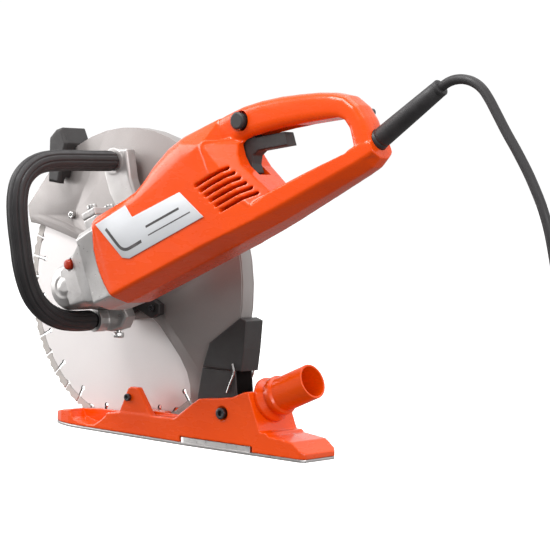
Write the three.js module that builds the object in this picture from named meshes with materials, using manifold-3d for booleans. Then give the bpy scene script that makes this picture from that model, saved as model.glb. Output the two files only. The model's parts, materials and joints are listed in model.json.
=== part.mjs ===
// Electric dry-cut cut-off saw with a 350 mm diamond blade, a closed dust guard and a plunge base.
// Millimetres, +Z up. The blade turns in a plane Y = constant, the cut runs along X and the motor
// lies on the -Y side of the blade. Everything is laid out from the blade's centre, and the group
// is moved at the end so that its origin is at the bottom centre of the saw without its cord.
import * as THREE from "three";
import { mergeVertices } from "three/addons/utils/BufferGeometryUtils.js";
import Module from "manifold-3d";

const wasm = await Module();
wasm.setup();

// ---- Driving dimensions ----
const GAP = 0.3; // between pieces that touch
const FIT = 0.4; // between a turning piece and what it turns in
const BLADE_RADIUS = 175;
const BLADE_THICKNESS = 3;
const BLADE_BORE = 12.7;
const FLOOR_CLEARANCE = 1.5; // under the blade at rest
const SLOT_COUNT = 21; // gullets round the blade
const SLOT_DEPTH = 22;
const MOTOR_TILT = 24.5; // degrees, rear end up
const MOTOR_OFFSET = 99; // motor axis from the blade plane
const BODY_HALF_WIDTH = 40;
const BODY_WALL = 3;
const GRIP_HALF_WIDTH = 17.5; // rear handle
const GUARD_RADIUS = BLADE_RADIUS + 14;
const GUARD_NEAR = -7.8; // outer face on the motor side
const GUARD_FAR = 11.2; // outer face on the far side
const GUARD_SHEET = 2;
const BASE_LENGTH_REAR = 303; // base end behind the blade centre
const BASE_NOSE = 114; // base end in front of the blade centre
const BASE_MIDDLE = 2; // Y of the base's centre plane
const BASE_HALF_WIDTH = 38;
const SOLE_THICKNESS = 3;
const HOSE_OUTER = 20; // radii of the dust port
const HOSE_WALL = 2.5;
const PIVOT = { x: BLADE_RADIUS + 10, z: 43, radius: 4 };
const HANDLE_RADIUS = 12.3; // front handle grip
const HANDLE_TUBE_RADIUS = 8.5;
const SPINDLE_RADIUS = 12.2;
const FLANGE_RADIUS = 42;
const CORD_RADIUS = 5;

const AXIS_Z = BLADE_RADIUS + FLOOR_CLEARANCE; // spindle height
const TILT = THREE.MathUtils.degToRad(MOTOR_TILT);
const NEAR_FACE = -(MOTOR_OFFSET + BODY_HALF_WIDTH); // outer side face of the motor body

// ---- Materials ----
function material(color, roughness, metalness = 0) {
  return new THREE.MeshStandardMaterial({ color, roughness, metalness });
}
const paint = {
  orange: material(0xe8480a, 0.3),
  castMetal: material(0xc9c7c4, 0.45, 0.8),
  guardGrey: material(0xb3adaa, 0.5, 0.2),
  darkPlastic: material(0x3b3a3c, 0.6),
  rubber: material(0x2b292a, 0.7),
  steel: material(0xd5d3d2, 0.3, 0.9),
  darkSteel: material(0x55565a, 0.45, 0.9),
  red: material(0xc62812, 0.4),
  copper: material(0xb4632f, 0.35, 0.9),
  plate: material(0xc9ccd2, 0.4, 0.3),
  carbon: material(0x222222, 0.8),
  board: material(0x1e3b2a, 0.7),
};

// ---- Solids ----
// A closed geometry as a solid with its faces pointing out.
function solid(geometry) {
  const bare = (geometry.index ? geometry.toNonIndexed() : geometry).clone();
  bare.deleteAttribute("normal");
  bare.deleteAttribute("uv");
  const merged = mergeVertices(bare, 1e-4);
  const source = merged.index.array;
  const corners = [];
  for (let i = 0; i < source.length; i += 3) {
    const [a, b, c] = [source[i], source[i + 1], source[i + 2]];
    if (a !== b && b !== c && c !== a) corners.push(a, b, c);
  }
  const vertProperties = merged.attributes.position.array;
  const make = (list) =>
    new wasm.Manifold(new wasm.Mesh({ numProp: 3, vertProperties, triVerts: new Uint32Array(list) }));
  const made = make(corners);
  if (made.volume() > 0) return made;
  for (let i = 0; i < corners.length; i += 3) {
    [corners[i + 1], corners[i + 2]] = [corners[i + 2], corners[i + 1]];
  }
  return make(corners);
}

function geometryOf(shape) {
  const mesh = shape.getMesh();
  const positions = new Float32Array(mesh.numVert * 3);
  for (let i = 0; i < mesh.numVert; i++) {
    positions.set(mesh.vertProperties.subarray(i * mesh.numProp, i * mesh.numProp + 3), i * 3);
  }
  return new THREE.BufferGeometry()
    .setAttribute("position", new THREE.BufferAttribute(positions, 3))
    .setIndex(new THREE.BufferAttribute(mesh.triVerts, 1));
}

const join = (...shapes) => shapes.reduce((a, b) => a.add(b));
const cut = (shape, ...tools) => tools.reduce((a, b) => a.subtract(b), shape);

function shapeOf(points) {
  return new THREE.Shape(points.map(([x, y]) => new THREE.Vector2(x, y)));
}

// A prism of an (x, z) outline between two Y values, with an optional bevel inside those values.
function prism(points, y0, y1, bevel = 0) {
  const outline = new THREE.ExtrudeGeometry(shapeOf(points), {
    depth: y1 - y0 - 2 * bevel,
    bevelEnabled: bevel > 0,
    bevelThickness: bevel,
    bevelSize: bevel,
    bevelOffset: -bevel,
    bevelSegments: 1,
  });
  return solid(outline.rotateX(Math.PI / 2).translate(0, y1 - bevel, 0));
}

// A prism of an (x, y) outline between two Z values.
function slab(points, z0, z1) {
  const options = { depth: z1 - z0, bevelEnabled: false };
  return solid(new THREE.ExtrudeGeometry(shapeOf(points), options).translate(0, 0, z0));
}

function block(x0, x1, y0, y1, z0, z1) {
  const box = new THREE.BoxGeometry(x1 - x0, y1 - y0, z1 - z0);
  return solid(box.translate((x0 + x1) / 2, (y0 + y1) / 2, (z0 + z1) / 2));
}

// A turned piece round the Y axis from a closed (radius, y) profile.
function turned(profile, sides = 24) {
  const ring = profile[0][0] > 0 ? [...profile, profile[0]] : profile;
  return solid(new THREE.LatheGeometry(ring.map(([r, y]) => new THREE.Vector2(r, y)), sides));
}

// The same along Y at (x, z): a pin, a bore or a ring when inner > 0.
function pin(x, z, y0, y1, radius, sides = 16, inner = 0) {
  const profile = [[inner, y0], [radius, y0], [radius, y1], [inner, y1]];
  return solid(geometryOf(turned(profile, sides)).translate(x, 0, z));
}

// A turned piece whose profile is (radius, distance) along the motor's axis, local X.
function along(profile, sides = 24) {
  return solid(geometryOf(turned(profile, sides)).rotateZ(-Math.PI / 2).translate(0, -MOTOR_OFFSET, 0));
}

function circle(radius, sides, start = 0, end = 2 * Math.PI, cx = 0, cz = 0) {
  const count = Math.round((sides * Math.abs(end - start)) / (2 * Math.PI));
  const whole = Math.abs(Math.abs(end - start) - 2 * Math.PI) < 1e-9;
  return Array.from({ length: whole ? count : count + 1 }, (_, i) => {
    const angle = start + ((end - start) * i) / count;
    return [cx + radius * Math.cos(angle), cz + radius * Math.sin(angle)];
  });
}

// A round bar or hose along a smooth curve through hand-picked points.
function tube(points, radius, steps, sides = 10, inner = 0) {
  const curve = new THREE.CatmullRomCurve3(points.map((p) => new THREE.Vector3(...p)), false, "centripetal");
  const section = shapeOf(circle(radius, sides));
  if (inner) {
    section.holes.push(new THREE.Path(circle(inner, sides).map(([x, y]) => new THREE.Vector2(x, y))));
  }
  return solid(new THREE.ExtrudeGeometry(section, { steps, extrudePath: curve, bevelEnabled: false }));
}

function loft(sections) {
  const [first] = sections;
  const count = first.length;
  const positions = sections.flat(2);
  const faces = [];
  for (let k = 0; k + 1 < sections.length; k++) {
    for (let i = 0; i < count; i++) {
      const a = k * count + i;
      const b = k * count + ((i + 1) % count);
      faces.push(a, b, b + count, a, b + count, a + count);
    }
  }
  const last = (sections.length - 1) * count;
  for (let i = 1; i + 1 < count; i++) faces.push(0, i + 1, i, last, last + i, last + i + 1);
  const geometry = new THREE.BufferGeometry();
  geometry.setAttribute("position", new THREE.BufferAttribute(new Float32Array(positions), 3));
  return solid(geometry.setIndex(faces));
}

const saw = new THREE.Group();
const base = new THREE.Group();
const guard = new THREE.Group();
const machine = new THREE.Group();
const motor = new THREE.Group(); // local X along the motor's axis
const cutter = new THREE.Group();
const cordGroup = new THREE.Group();
saw.add(base, guard, machine, motor, cutter, cordGroup);
for (const group of [guard, machine, motor, cutter]) group.position.z = AXIS_Z;
motor.rotation.y = -TILT;

function add(group, name, shape, finish) {
  const mesh = new THREE.Mesh(geometryOf(shape), finish);
  mesh.name = name;
  group.add(mesh);
}

// A socket-head screw along Y: its head is on the side that `out` (-1 or 1) points to.
function screw(x, z, y, length, out, shank = 2.4, head = 4.2) {
  const height = head * 0.9;
  const profile = [[0, 0], [head, 0], [head, height], [head * 0.5, height], [head * 0.5, height * 0.4],
    [0, height * 0.4]];
  const cap = geometryOf(turned(profile, 12));
  if (out < 0) cap.rotateX(Math.PI);
  const stem = pin(x, z, Math.min(y, y - out * length), Math.max(y, y - out * length), shank, 10);
  return join(solid(cap.translate(x, y, z)), stem);
}

// ---- Diamond blade and what turns with it ----
const FLANGE_THICKNESS = 3.4;
const NUT = { radius: 19, thickness: 8 };
const BEARING = { inner: SPINDLE_RADIUS + FIT, outer: 23.5, width: 14, start: -56 };
const CROWN = { teeth: 32, inner: 18.5, outer: 23, tip: -MOTOR_OFFSET + 4.2, tooth: 2.8, plate: 6 };
const PINION = { teeth: 8, tip: 6.5, root: 4.1, start: 18.5, end: 23, bore: 2.8 };
const SPINDLE_END = -MOTOR_OFFSET - 13;
const JOURNAL_RADIUS = 8; // spindle end past the crown gear

function bladeOutline() {
  const points = [];
  const pitch = (2 * Math.PI) / SLOT_COUNT;
  const at = (radius, angle) => points.push([radius * Math.cos(angle), radius * Math.sin(angle)]);
  const slot = 1.3 / BLADE_RADIUS;
  const notch = 1 / BLADE_RADIUS;
  for (let i = 0; i < SLOT_COUNT; i++) {
    const start = i * pitch;
    const middle = start + pitch / 2;
    at(BLADE_RADIUS - SLOT_DEPTH, start - slot);
    at(BLADE_RADIUS - SLOT_DEPTH, start + slot);
    at(BLADE_RADIUS, start + slot);
    at(BLADE_RADIUS, start + pitch / 4);
    at(BLADE_RADIUS, middle - notch);
    at(BLADE_RADIUS - 5, middle - notch);
    at(BLADE_RADIUS - 5, middle + notch);
    at(BLADE_RADIUS, middle + notch);
    at(BLADE_RADIUS, start + (3 * pitch) / 4);
    at(BLADE_RADIUS, start + pitch - slot);
  }
  return points;
}

function makeCutter() {
  const half = BLADE_THICKNESS / 2;
  const blade = prism(bladeOutline(), -half, half);
  add(cutter, "diamond_blade", cut(blade, pin(0, 0, -9, 9, BLADE_BORE, 24)), paint.steel);

  const seat = half + GAP;
  const bore = SPINDLE_RADIUS + FIT;
  const rim = seat + FLANGE_THICKNESS;
  const hubEnd = rim + 5.6;
  add(cutter, "inner_flange", turned([[bore, -seat], [FLANGE_RADIUS, -seat], [FLANGE_RADIUS, -rim],
    [21, -rim], [21, -hubEnd], [bore, -hubEnd]], 28), paint.darkSteel);
  add(cutter, "outer_flange", turned([[bore, seat], [FLANGE_RADIUS, seat], [FLANGE_RADIUS - 3, rim],
    [bore, rim]], 28), paint.darkSteel);
  const nutStart = rim + GAP;
  const nut = prism(circle(NUT.radius, 6), nutStart, nutStart + NUT.thickness, 0.8);
  add(cutter, "blade_nut", cut(nut, pin(0, 0, 0, 40, bore, 20)), paint.darkSteel);

  const shaftEnd = nutStart + NUT.thickness + 3;
  const plateFace = CROWN.tip + CROWN.tooth + CROWN.plate;
  const shaft = turned([[0, shaftEnd], [SPINDLE_RADIUS - 1, shaftEnd], [SPINDLE_RADIUS, shaftEnd - 1.5],
    [SPINDLE_RADIUS, plateFace + 3], [JOURNAL_RADIUS, plateFace + 3], [JOURNAL_RADIUS, SPINDLE_END],
    [0, SPINDLE_END]]);
  add(cutter, "spindle_shaft", shaft, paint.steel);

  // The crown gear's teeth face the motor axis.
  const rootFace = CROWN.tip + CROWN.tooth;
  const hub = JOURNAL_RADIUS + GAP;
  const plate = turned([[hub, rootFace], [CROWN.outer + 1, rootFace], [CROWN.outer + 1, plateFace],
    [hub, plateFace]], CROWN.teeth);
  const tooth = geometryOf(block(CROWN.inner, CROWN.outer, CROWN.tip, rootFace + 1, -0.6, 0.6));
  const teeth = Array.from({ length: CROWN.teeth }, (_, i) =>
    solid(tooth.clone().rotateY((2 * Math.PI * (i + 0.5)) / CROWN.teeth - TILT)));
  add(cutter, "crown_gear", join(plate, ...teeth), paint.darkSteel);
}

// ---- Motor: what turns with the armature ----
const CORE = { start: 132, end: 202, radius: 25 };
const COMMUTATOR = { start: 214, end: 238, radius: 14 };
const FAN = { start: 100, end: 114, radius: 31, vanes: 8 };
const SHAFT_RADIUS = 5;
const FRONT_BEARING = { start: 42, end: 54, outer: 15.6 };
const REAR_BEARING = { start: 246, end: 256, outer: 11 };
const STATOR_RADIUS = BODY_HALF_WIDTH - BODY_WALL - 0.8;

function makeArmature() {
  const stub = PINION.bore - GAP;
  const shaft = along([[0, PINION.start - 1], [stub, PINION.start - 1], [stub, PINION.end + 1],
    [SHAFT_RADIUS, PINION.end + 1], [SHAFT_RADIUS, REAR_BEARING.end + 1], [0, REAR_BEARING.end + 1]], 12);
  add(motor, "armature_shaft", shaft, paint.steel);

  const bore = SHAFT_RADIUS + GAP;
  const ring = (start, end, radius, sides) =>
    along([[bore, start], [radius, start], [radius, end], [bore, end]], sides);
  const core = [[bore, CORE.start - 8], [CORE.radius - 6, CORE.start - 8], [CORE.radius - 6, CORE.start],
    [CORE.radius, CORE.start], [CORE.radius, CORE.end], [CORE.radius - 6, CORE.end],
    [CORE.radius - 6, CORE.end + 8], [bore, CORE.end + 8]];
  add(motor, "armature_core", along(core, 18), paint.copper);
  add(motor, "commutator", ring(COMMUTATOR.start, COMMUTATOR.end, COMMUTATOR.radius, 16), paint.copper);

  const bladeThin = geometryOf(block(FAN.start + 2, FAN.end, -0.8, 0.8, 9, FAN.radius - 1));
  const vanes = Array.from({ length: FAN.vanes }, (_, i) =>
    solid(bladeThin.clone().rotateX((2 * Math.PI * i) / FAN.vanes).translate(0, -MOTOR_OFFSET, 0)));
  add(motor, "cooling_fan", join(ring(FAN.start, FAN.start + 3, FAN.radius, 16),
    ring(FAN.start, FAN.end, 10, 10), ...vanes), paint.darkPlastic);

  const tooth = geometryOf(block(PINION.start, PINION.end, -0.55, 0.55, PINION.root - 0.5, PINION.tip));
  const teeth = Array.from({ length: PINION.teeth }, (_, i) =>
    solid(tooth.clone().rotateX((2 * Math.PI * i) / PINION.teeth - Math.PI / 2)
      .translate(0, -MOTOR_OFFSET, 0)));
  const hub = along([[PINION.bore, PINION.start], [PINION.root, PINION.start], [PINION.root, PINION.end],
    [PINION.bore, PINION.end]], 16);
  add(motor, "bevel_pinion", join(hub, ...teeth), paint.darkSteel);
}

// ---- Motor body and rear handle ----
// Stations along the motor's axis: half width, side height, ridge height, crease and keel depth.
const STATIONS = [
  { s: 95, w: BODY_HALF_WIDTH - 1, top: 41, ridge: 50, crease: -46, keel: -56 },
  { s: 108, w: BODY_HALF_WIDTH, top: 42, ridge: 52, crease: -46, keel: -57 },
  { s: 200, w: BODY_HALF_WIDTH, top: 42, ridge: 52, crease: -46, keel: -57 },
  { s: 240, w: BODY_HALF_WIDTH, top: 50, ridge: 60, crease: -46, keel: -57 },
  { s: 284, w: BODY_HALF_WIDTH - 2, top: 56, ridge: 62, crease: -46, keel: -57 },
  { s: 318, w: BODY_HALF_WIDTH - 6, top: 10, ridge: 14, crease: -45, keel: -56.5 },
  { s: 345, w: 30, top: -25, ridge: -23, crease: -44, keel: -56 },
  { s: 410, w: 24, top: -25, ridge: -23, crease: -41, keel: -52 },
  { s: 455, w: 19, top: -25, ridge: -23, crease: -38.5, keel: -49.5 },
  { s: 470, w: 17.5, top: -24, ridge: -22, crease: -37, keel: -48 },
];
const BODY_START = STATIONS[0].s;
const REAR_FACE = 481;
const GRIP_OUTLINE = [[158, 42], [180, 58], [203, 71], [228, 80], [267, 83], [330, 81], [386, 70],
  [425, 56], [460, 38], [475, 26], [REAR_FACE, 14], [REAR_FACE + 3, -34], [REAR_FACE, -43], [470, -49],
  [413, -52], [300, -52], [158, -40]];
const WINDOW = [[343, -23], [325, 8], [318, 20], [318, 44], [336, 45], [372, 36], [402, 30],
  [452, 15], [460, 9], [461, 0], [456, -21], [450, -25]];
const VENTS = { count: 6, first: [262, 16], step: [4.7, -7.6], length: 45, width: 3.2, slope: 0.045 };

function bodySection({ s, w, top, ridge, crease, keel }, inset) {
  const half = w - inset;
  const [t, r, c, k] = [top - inset, ridge - inset, crease + inset * 0.7, keel + inset];
  const round = Math.min(7, (t - c) * 0.3);
  const side = [[half * 0.42, k * 0.96 + c * 0.04], [half, c], [half, t - round], [half - round, t]];
  const right = side.map(([y, z]) => [s, y, z]);
  const left = side.map(([y, z]) => [s, -y, z]).reverse();
  return [[s, 0, k], ...right, [s, 0, r], ...left].map(([x, y, z]) => [x, y - MOTOR_OFFSET, z]);
}

function insetOutline(points, inset) {
  return points.map((p, i) => {
    const a = points[(i + points.length - 1) % points.length];
    const b = points[(i + 1) % points.length];
    const along1 = new THREE.Vector2(p[0] - a[0], p[1] - a[1]).normalize();
    const along2 = new THREE.Vector2(b[0] - p[0], b[1] - p[1]).normalize();
    const normal = new THREE.Vector2(along1.y + along2.y, -along1.x - along2.x).normalize();
    const stretch = inset / Math.max(0.5, normal.x * along1.y - normal.y * along1.x);
    return [p[0] + normal.x * stretch, p[1] + normal.y * stretch];
  });
}

const LABEL = [[105, 36], [157, 38], [162, 22], [239, 20], [262, -18], [141, -19], [131, -14]];
const TRIGGER_PIN = { s: 323, n: 51, radius: 2.5 };
const TRIGGER = [[311, 30], [314, 40], [320, 46], [317, 55], [329, 57], [336, 44], [368, 35], [375, 33],
  [374, 18], [345, 26], [334, 29], [326, 27], [321, 19], [321, 9], [315, 9]];
const TRIGGER_HALF_WIDTH = 8;
const LOCK_BUTTON = { s: 329.5, n: 65, radius: 10.7, travel: 4, proud: 6 };

function makeBody() {
  const outer = loft(STATIONS.map((station) => bodySection(station, 0)));
  const mid = -MOTOR_OFFSET;
  const grip = prism(GRIP_OUTLINE, mid - GRIP_HALF_WIDTH, mid + GRIP_HALF_WIDTH, 5);
  const inner = loft([{ ...STATIONS[0], s: BODY_START - 2 }, ...STATIONS.slice(1, 6)]
    .map((station) => bodySection(station, BODY_WALL)));
  const innerGrip = prism(insetOutline(GRIP_OUTLINE, -BODY_WALL), mid - GRIP_HALF_WIDTH + BODY_WALL,
    mid + GRIP_HALF_WIDTH - BODY_WALL);
  const windowCut = prism(WINDOW, mid - 60, mid + 60);
  const windowWall = prism(insetOutline(WINDOW, BODY_WALL), mid - 60, mid + 60);
  const triggerSlot = prism([[306, 4], [336, 4], [346, 22], [394, 8], [398, 42], [341, 60], [306, 62]],
    mid - TRIGGER_HALF_WIDTH - 1.4, mid + TRIGGER_HALF_WIDTH + 1.4);
  const vents = Array.from({ length: VENTS.count }, (_, i) => {
    const [s, n] = [VENTS.first[0] + i * VENTS.step[0], VENTS.first[1] + i * VENTS.step[1]];
    const rise = VENTS.length * VENTS.slope;
    const corners = [[s, n], [s + VENTS.length, n + rise], [s + VENTS.length, n + rise + VENTS.width],
      [s, n + VENTS.width]];
    return prism(corners, mid - 60, mid + 60);
  });
  const relief = along([[0, REAR_FACE - 18], [STRAIN.base + FIT, REAR_FACE - 18],
    [STRAIN.base + FIT, REAR_FACE + 20], [0, REAR_FACE + 20]], 16);
  const exit = solid(geometryOf(relief).translate(-REAR_FACE, 0, 0)
    .rotateY(-STRAIN.tilt).translate(REAR_FACE, 0, STRAIN.height));
  const button = pin(LOCK_BUTTON.s, LOCK_BUTTON.n, mid - 60, mid, LOCK_BUTTON.radius - 2, 16);
  const pinHole = pin(TRIGGER_PIN.s, TRIGGER_PIN.n, mid - 14, mid + 14, TRIGGER_PIN.radius + FIT, 12);
  const interior = cut(join(inner, innerGrip), windowWall);
  const shell = cut(join(outer, grip), interior, windowCut, triggerSlot, exit, pinHole, ...vents);
  const nearSide = block(0, 600, mid - 90, mid - GAP / 2, -200, 200);
  const farSide = block(0, 600, mid + GAP / 2, mid + 90, -200, 200);
  const farScrews = SCREWS.map(([s, n]) => pin(s, n, mid, mid + 90, 2.8, 10));
  add(motor, "motor_housing_near", cut(shell.intersect(nearSide), button), paint.orange);
  add(motor, "motor_housing_far", cut(shell.intersect(farSide), ...farScrews), paint.orange);
  SCREWS.forEach(([s, n, face], i) =>
    add(motor, "housing_screw_" + (i + 1), screw(s, n, mid + face + GAP, face - 2, 1), paint.darkSteel));
  add(motor, "label_plate", prism(LABEL, NEAR_FACE - GAP - 0.9, NEAR_FACE - GAP), paint.plate);
}

// Screws that hold the far half: place on the body and how far out its face is.
const SCREWS = [[240, -30, BODY_HALF_WIDTH], [470, 14, GRIP_HALF_WIDTH]];
const STRAIN = { base: 10.8, end: 8.8, length: 94, tilt: THREE.MathUtils.degToRad(10.9), height: -23 };

function makeControls() {
  const mid = -MOTOR_OFFSET;
  const holes = pin(TRIGGER_PIN.s, TRIGGER_PIN.n, mid - 20, mid + 20, TRIGGER_PIN.radius + FIT, 12);
  const lever = prism(TRIGGER, mid - TRIGGER_HALF_WIDTH, mid + TRIGGER_HALF_WIDTH, 1);
  add(motor, "trigger", cut(lever, holes), paint.darkPlastic);
  add(motor, "trigger_pin", pin(TRIGGER_PIN.s, TRIGGER_PIN.n, mid - 13.5, mid + 13.5, TRIGGER_PIN.radius, 12),
    paint.steel);

  const face = mid - GRIP_HALF_WIDTH;
  const cap = turned([[0, face - LOCK_BUTTON.proud], [LOCK_BUTTON.radius - 3, face - LOCK_BUTTON.proud],
    [LOCK_BUTTON.radius, face - LOCK_BUTTON.proud + 2], [LOCK_BUTTON.radius, face - LOCK_BUTTON.travel - 0.6],
    [LOCK_BUTTON.radius - 2.6, face - LOCK_BUTTON.travel - 0.6], [LOCK_BUTTON.radius - 2.6, face + 5],
    [0, face + 5]], 24);
  const placed = solid(geometryOf(cap).translate(LOCK_BUTTON.s, 0, LOCK_BUTTON.n));
  add(motor, "lock_off_button", placed, paint.darkPlastic);

  add(motor, "switch_body", block(284, 304, mid - 9, mid + 9, 26, 58), paint.darkPlastic);
  add(motor, "soft_start_module", block(352, 412, mid - 10, mid + 10, -45, -30), paint.board);
  const clampBar = block(440, 452, mid - 9, mid + 9, -45, -38.5);
  add(motor, "cable_clamp", clampBar, paint.darkPlastic);
}

function makeMotorParts() {
  const ringAt = (start, end, inner, outer, sides = 16) =>
    along([[inner, start], [outer, start], [outer, end], [inner, end]], sides);
  add(motor, "stator", ringAt(CORE.start, CORE.end, CORE.radius + 2, STATOR_RADIUS, 20), paint.darkSteel);
  add(motor, "pinion_bearing",
    ringAt(FRONT_BEARING.start, FRONT_BEARING.end, SHAFT_RADIUS + FIT, FRONT_BEARING.outer), paint.steel);
  add(motor, "rear_bearing",
    ringAt(REAR_BEARING.start, REAR_BEARING.end, SHAFT_RADIUS + FIT, REAR_BEARING.outer), paint.steel);
  for (const [name, side] of [["carbon_brush_near", -1], ["carbon_brush_far", 1]]) {
    const inside = side * (COMMUTATOR.radius + FIT) - MOTOR_OFFSET;
    const outside = side * 34 - MOTOR_OFFSET;
    const [y0, y1] = [Math.min(inside, outside), Math.max(inside, outside)];
    add(motor, name, block(COMMUTATOR.start + 5, COMMUTATOR.start + 17, y0, y1, -4, 4), paint.carbon);
  }
}

// ---- Gear housing ----
const DOME = { radius: 27.5, near: -112, far: -58 };
const NECK = { radius: 28, end: -12, spigot: 26.3, spigotEnd: -6.3, bore: 24.2 };
const FLANGE = { start: 65, end: BODY_START - GAP };
const LOCK_PIN = { s: 26, n: 18, face: -MOTOR_OFFSET - 17, radius: 6, travel: 4, proud: 6 };

function makeGearHousing() {
  const toMotor = (shape) => solid(geometryOf(shape).rotateY(TILT));
  const dome = toMotor(turned([[0, DOME.near], [14, DOME.near], [23, DOME.near + 3],
    [DOME.radius, DOME.near + 10], [DOME.radius, DOME.far], [0, DOME.far]], 28));
  const throat = loft([
    bodySection({ s: 4, w: 13.5, top: 26, ridge: 27, crease: -25, keel: -28 }, 0),
    bodySection({ s: 34, w: 20, top: 30, ridge: 34, crease: -31, keel: -36 }, 0),
    bodySection({ s: FLANGE.start - 4, w: 31, top: 37, ridge: 44, crease: -41, keel: -48 }, 0),
    bodySection({ s: FLANGE.start, w: BODY_HALF_WIDTH - 2.5, top: 39.5, ridge: 48, crease: -44,
      keel: -53 }, 0),
    bodySection({ ...STATIONS[0], s: FLANGE.end }, 0.6),
  ]);
  const foot = block(60, 82, -MOTOR_OFFSET - 12, -MOTOR_OFFSET + 38, 34, FOOT.seat);
  const footHoles = FOOT.bolts.map((y) => bracketHole(y));
  const crownRoom = toMotor(turned([[0, -MOTOR_OFFSET - 8], [CROWN.outer + 2, -MOTOR_OFFSET - 8],
    [CROWN.outer + 2, DOME.far + 1], [0, DOME.far + 1]], 28));
  const bush = toMotor(turned([[0, SPINDLE_END - 1], [JOURNAL_RADIUS + 3.3, SPINDLE_END - 1],
    [JOURNAL_RADIUS + 3.3, -MOTOR_OFFSET], [0, -MOTOR_OFFSET]], 16));
  const motorRoom = along([[0, 0], [13, 0], [13, FRONT_BEARING.start - 1],
    [FRONT_BEARING.outer + GAP, FRONT_BEARING.start - 1],
    [FRONT_BEARING.outer + GAP, FRONT_BEARING.end + 1], [25, FRONT_BEARING.end + 6],
    [25, FLANGE.start + 2], [33, FLANGE.start + 8], [33, FLANGE.end + 5], [0, FLANGE.end + 5]], 24);
  const lockHole = pin(LOCK_PIN.s, LOCK_PIN.n, LOCK_PIN.face - 30, LOCK_PIN.face + 7,
    LOCK_PIN.radius + 2 * GAP, 16);
  const housing = cut(join(dome, throat, foot), crownRoom, bush, motorRoom, lockHole, ...footHoles);
  add(motor, "gear_housing", housing, paint.castMetal);

  const capFace = LOCK_PIN.face - LOCK_PIN.proud;
  const stemEnd = LOCK_PIN.face + 7 - LOCK_PIN.travel - GAP;
  const stem = turned([[0, capFace], [LOCK_PIN.radius - 1.5, capFace], [LOCK_PIN.radius, capFace + 1.5],
    [LOCK_PIN.radius, stemEnd], [0, stemEnd]], 16);
  add(motor, "spindle_lock_button", solid(geometryOf(stem).translate(LOCK_PIN.s, 0, LOCK_PIN.n)), paint.red);

  // The bearing neck carries the guard on its spigot.
  const neck = turned([[NECK.bore, DOME.far + GAP], [NECK.radius, DOME.far + GAP], [NECK.radius, NECK.end],
    [NECK.spigot, NECK.end], [NECK.spigot, NECK.spigotEnd], [NECK.bore, NECK.spigotEnd]], 28);
  add(machine, "bearing_neck", neck, paint.castMetal);
  const end = BEARING.start + BEARING.width;
  const bearing = turned([[BEARING.inner, BEARING.start], [BEARING.outer, BEARING.start],
    [BEARING.outer, end], [BEARING.inner, end]], 24);
  add(machine, "spindle_bearing", bearing, paint.steel);
}

// ---- Front handle ----
const FOOT = { seat: 58, thickness: 9, s: 71, bolts: [-MOTOR_OFFSET - 3, -MOTOR_OFFSET + 25] };
const LOWER_RUN = -(DOME.radius + HANDLE_RADIUS + 1.2); // clear under the gear housing
const TUBE_TOP = [-3, -20, 148.2];
const TUBE_LOOP = [[-3, -35, 148], [-3, -71, 147.4], [-3, -103, 147], [-3, -134, 145.7],
  [-3, -153, 141.8], [-3, -166.5, 134.7], [-3, -176.6, 124.3], [-3, -182, 111.7], [-3, -183.6, 94.7],
  [-3, -180.5, 72], [-3, -176, 49.2], [-3, -171.3, 26.4], [-3, -162.8, 3.3], [-3, -151.5, -14.2],
  [-3, -133.9, LOWER_RUN + 12.4], [-3, -111.6, LOWER_RUN + 3.4], [-3, -87.6, LOWER_RUN + 0.2],
  [-3, -62, LOWER_RUN + 0.1]];
const TUBE_BOTTOM = [-3, -50, LOWER_RUN];

// The hole of a bolt across the bracket's foot, in the motor's frame.
function bracketHole(y) {
  return solid(new THREE.CylinderGeometry(3.4, 3.4, 40, 12).rotateX(Math.PI / 2).translate(FOOT.s, y, 62));
}

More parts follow.
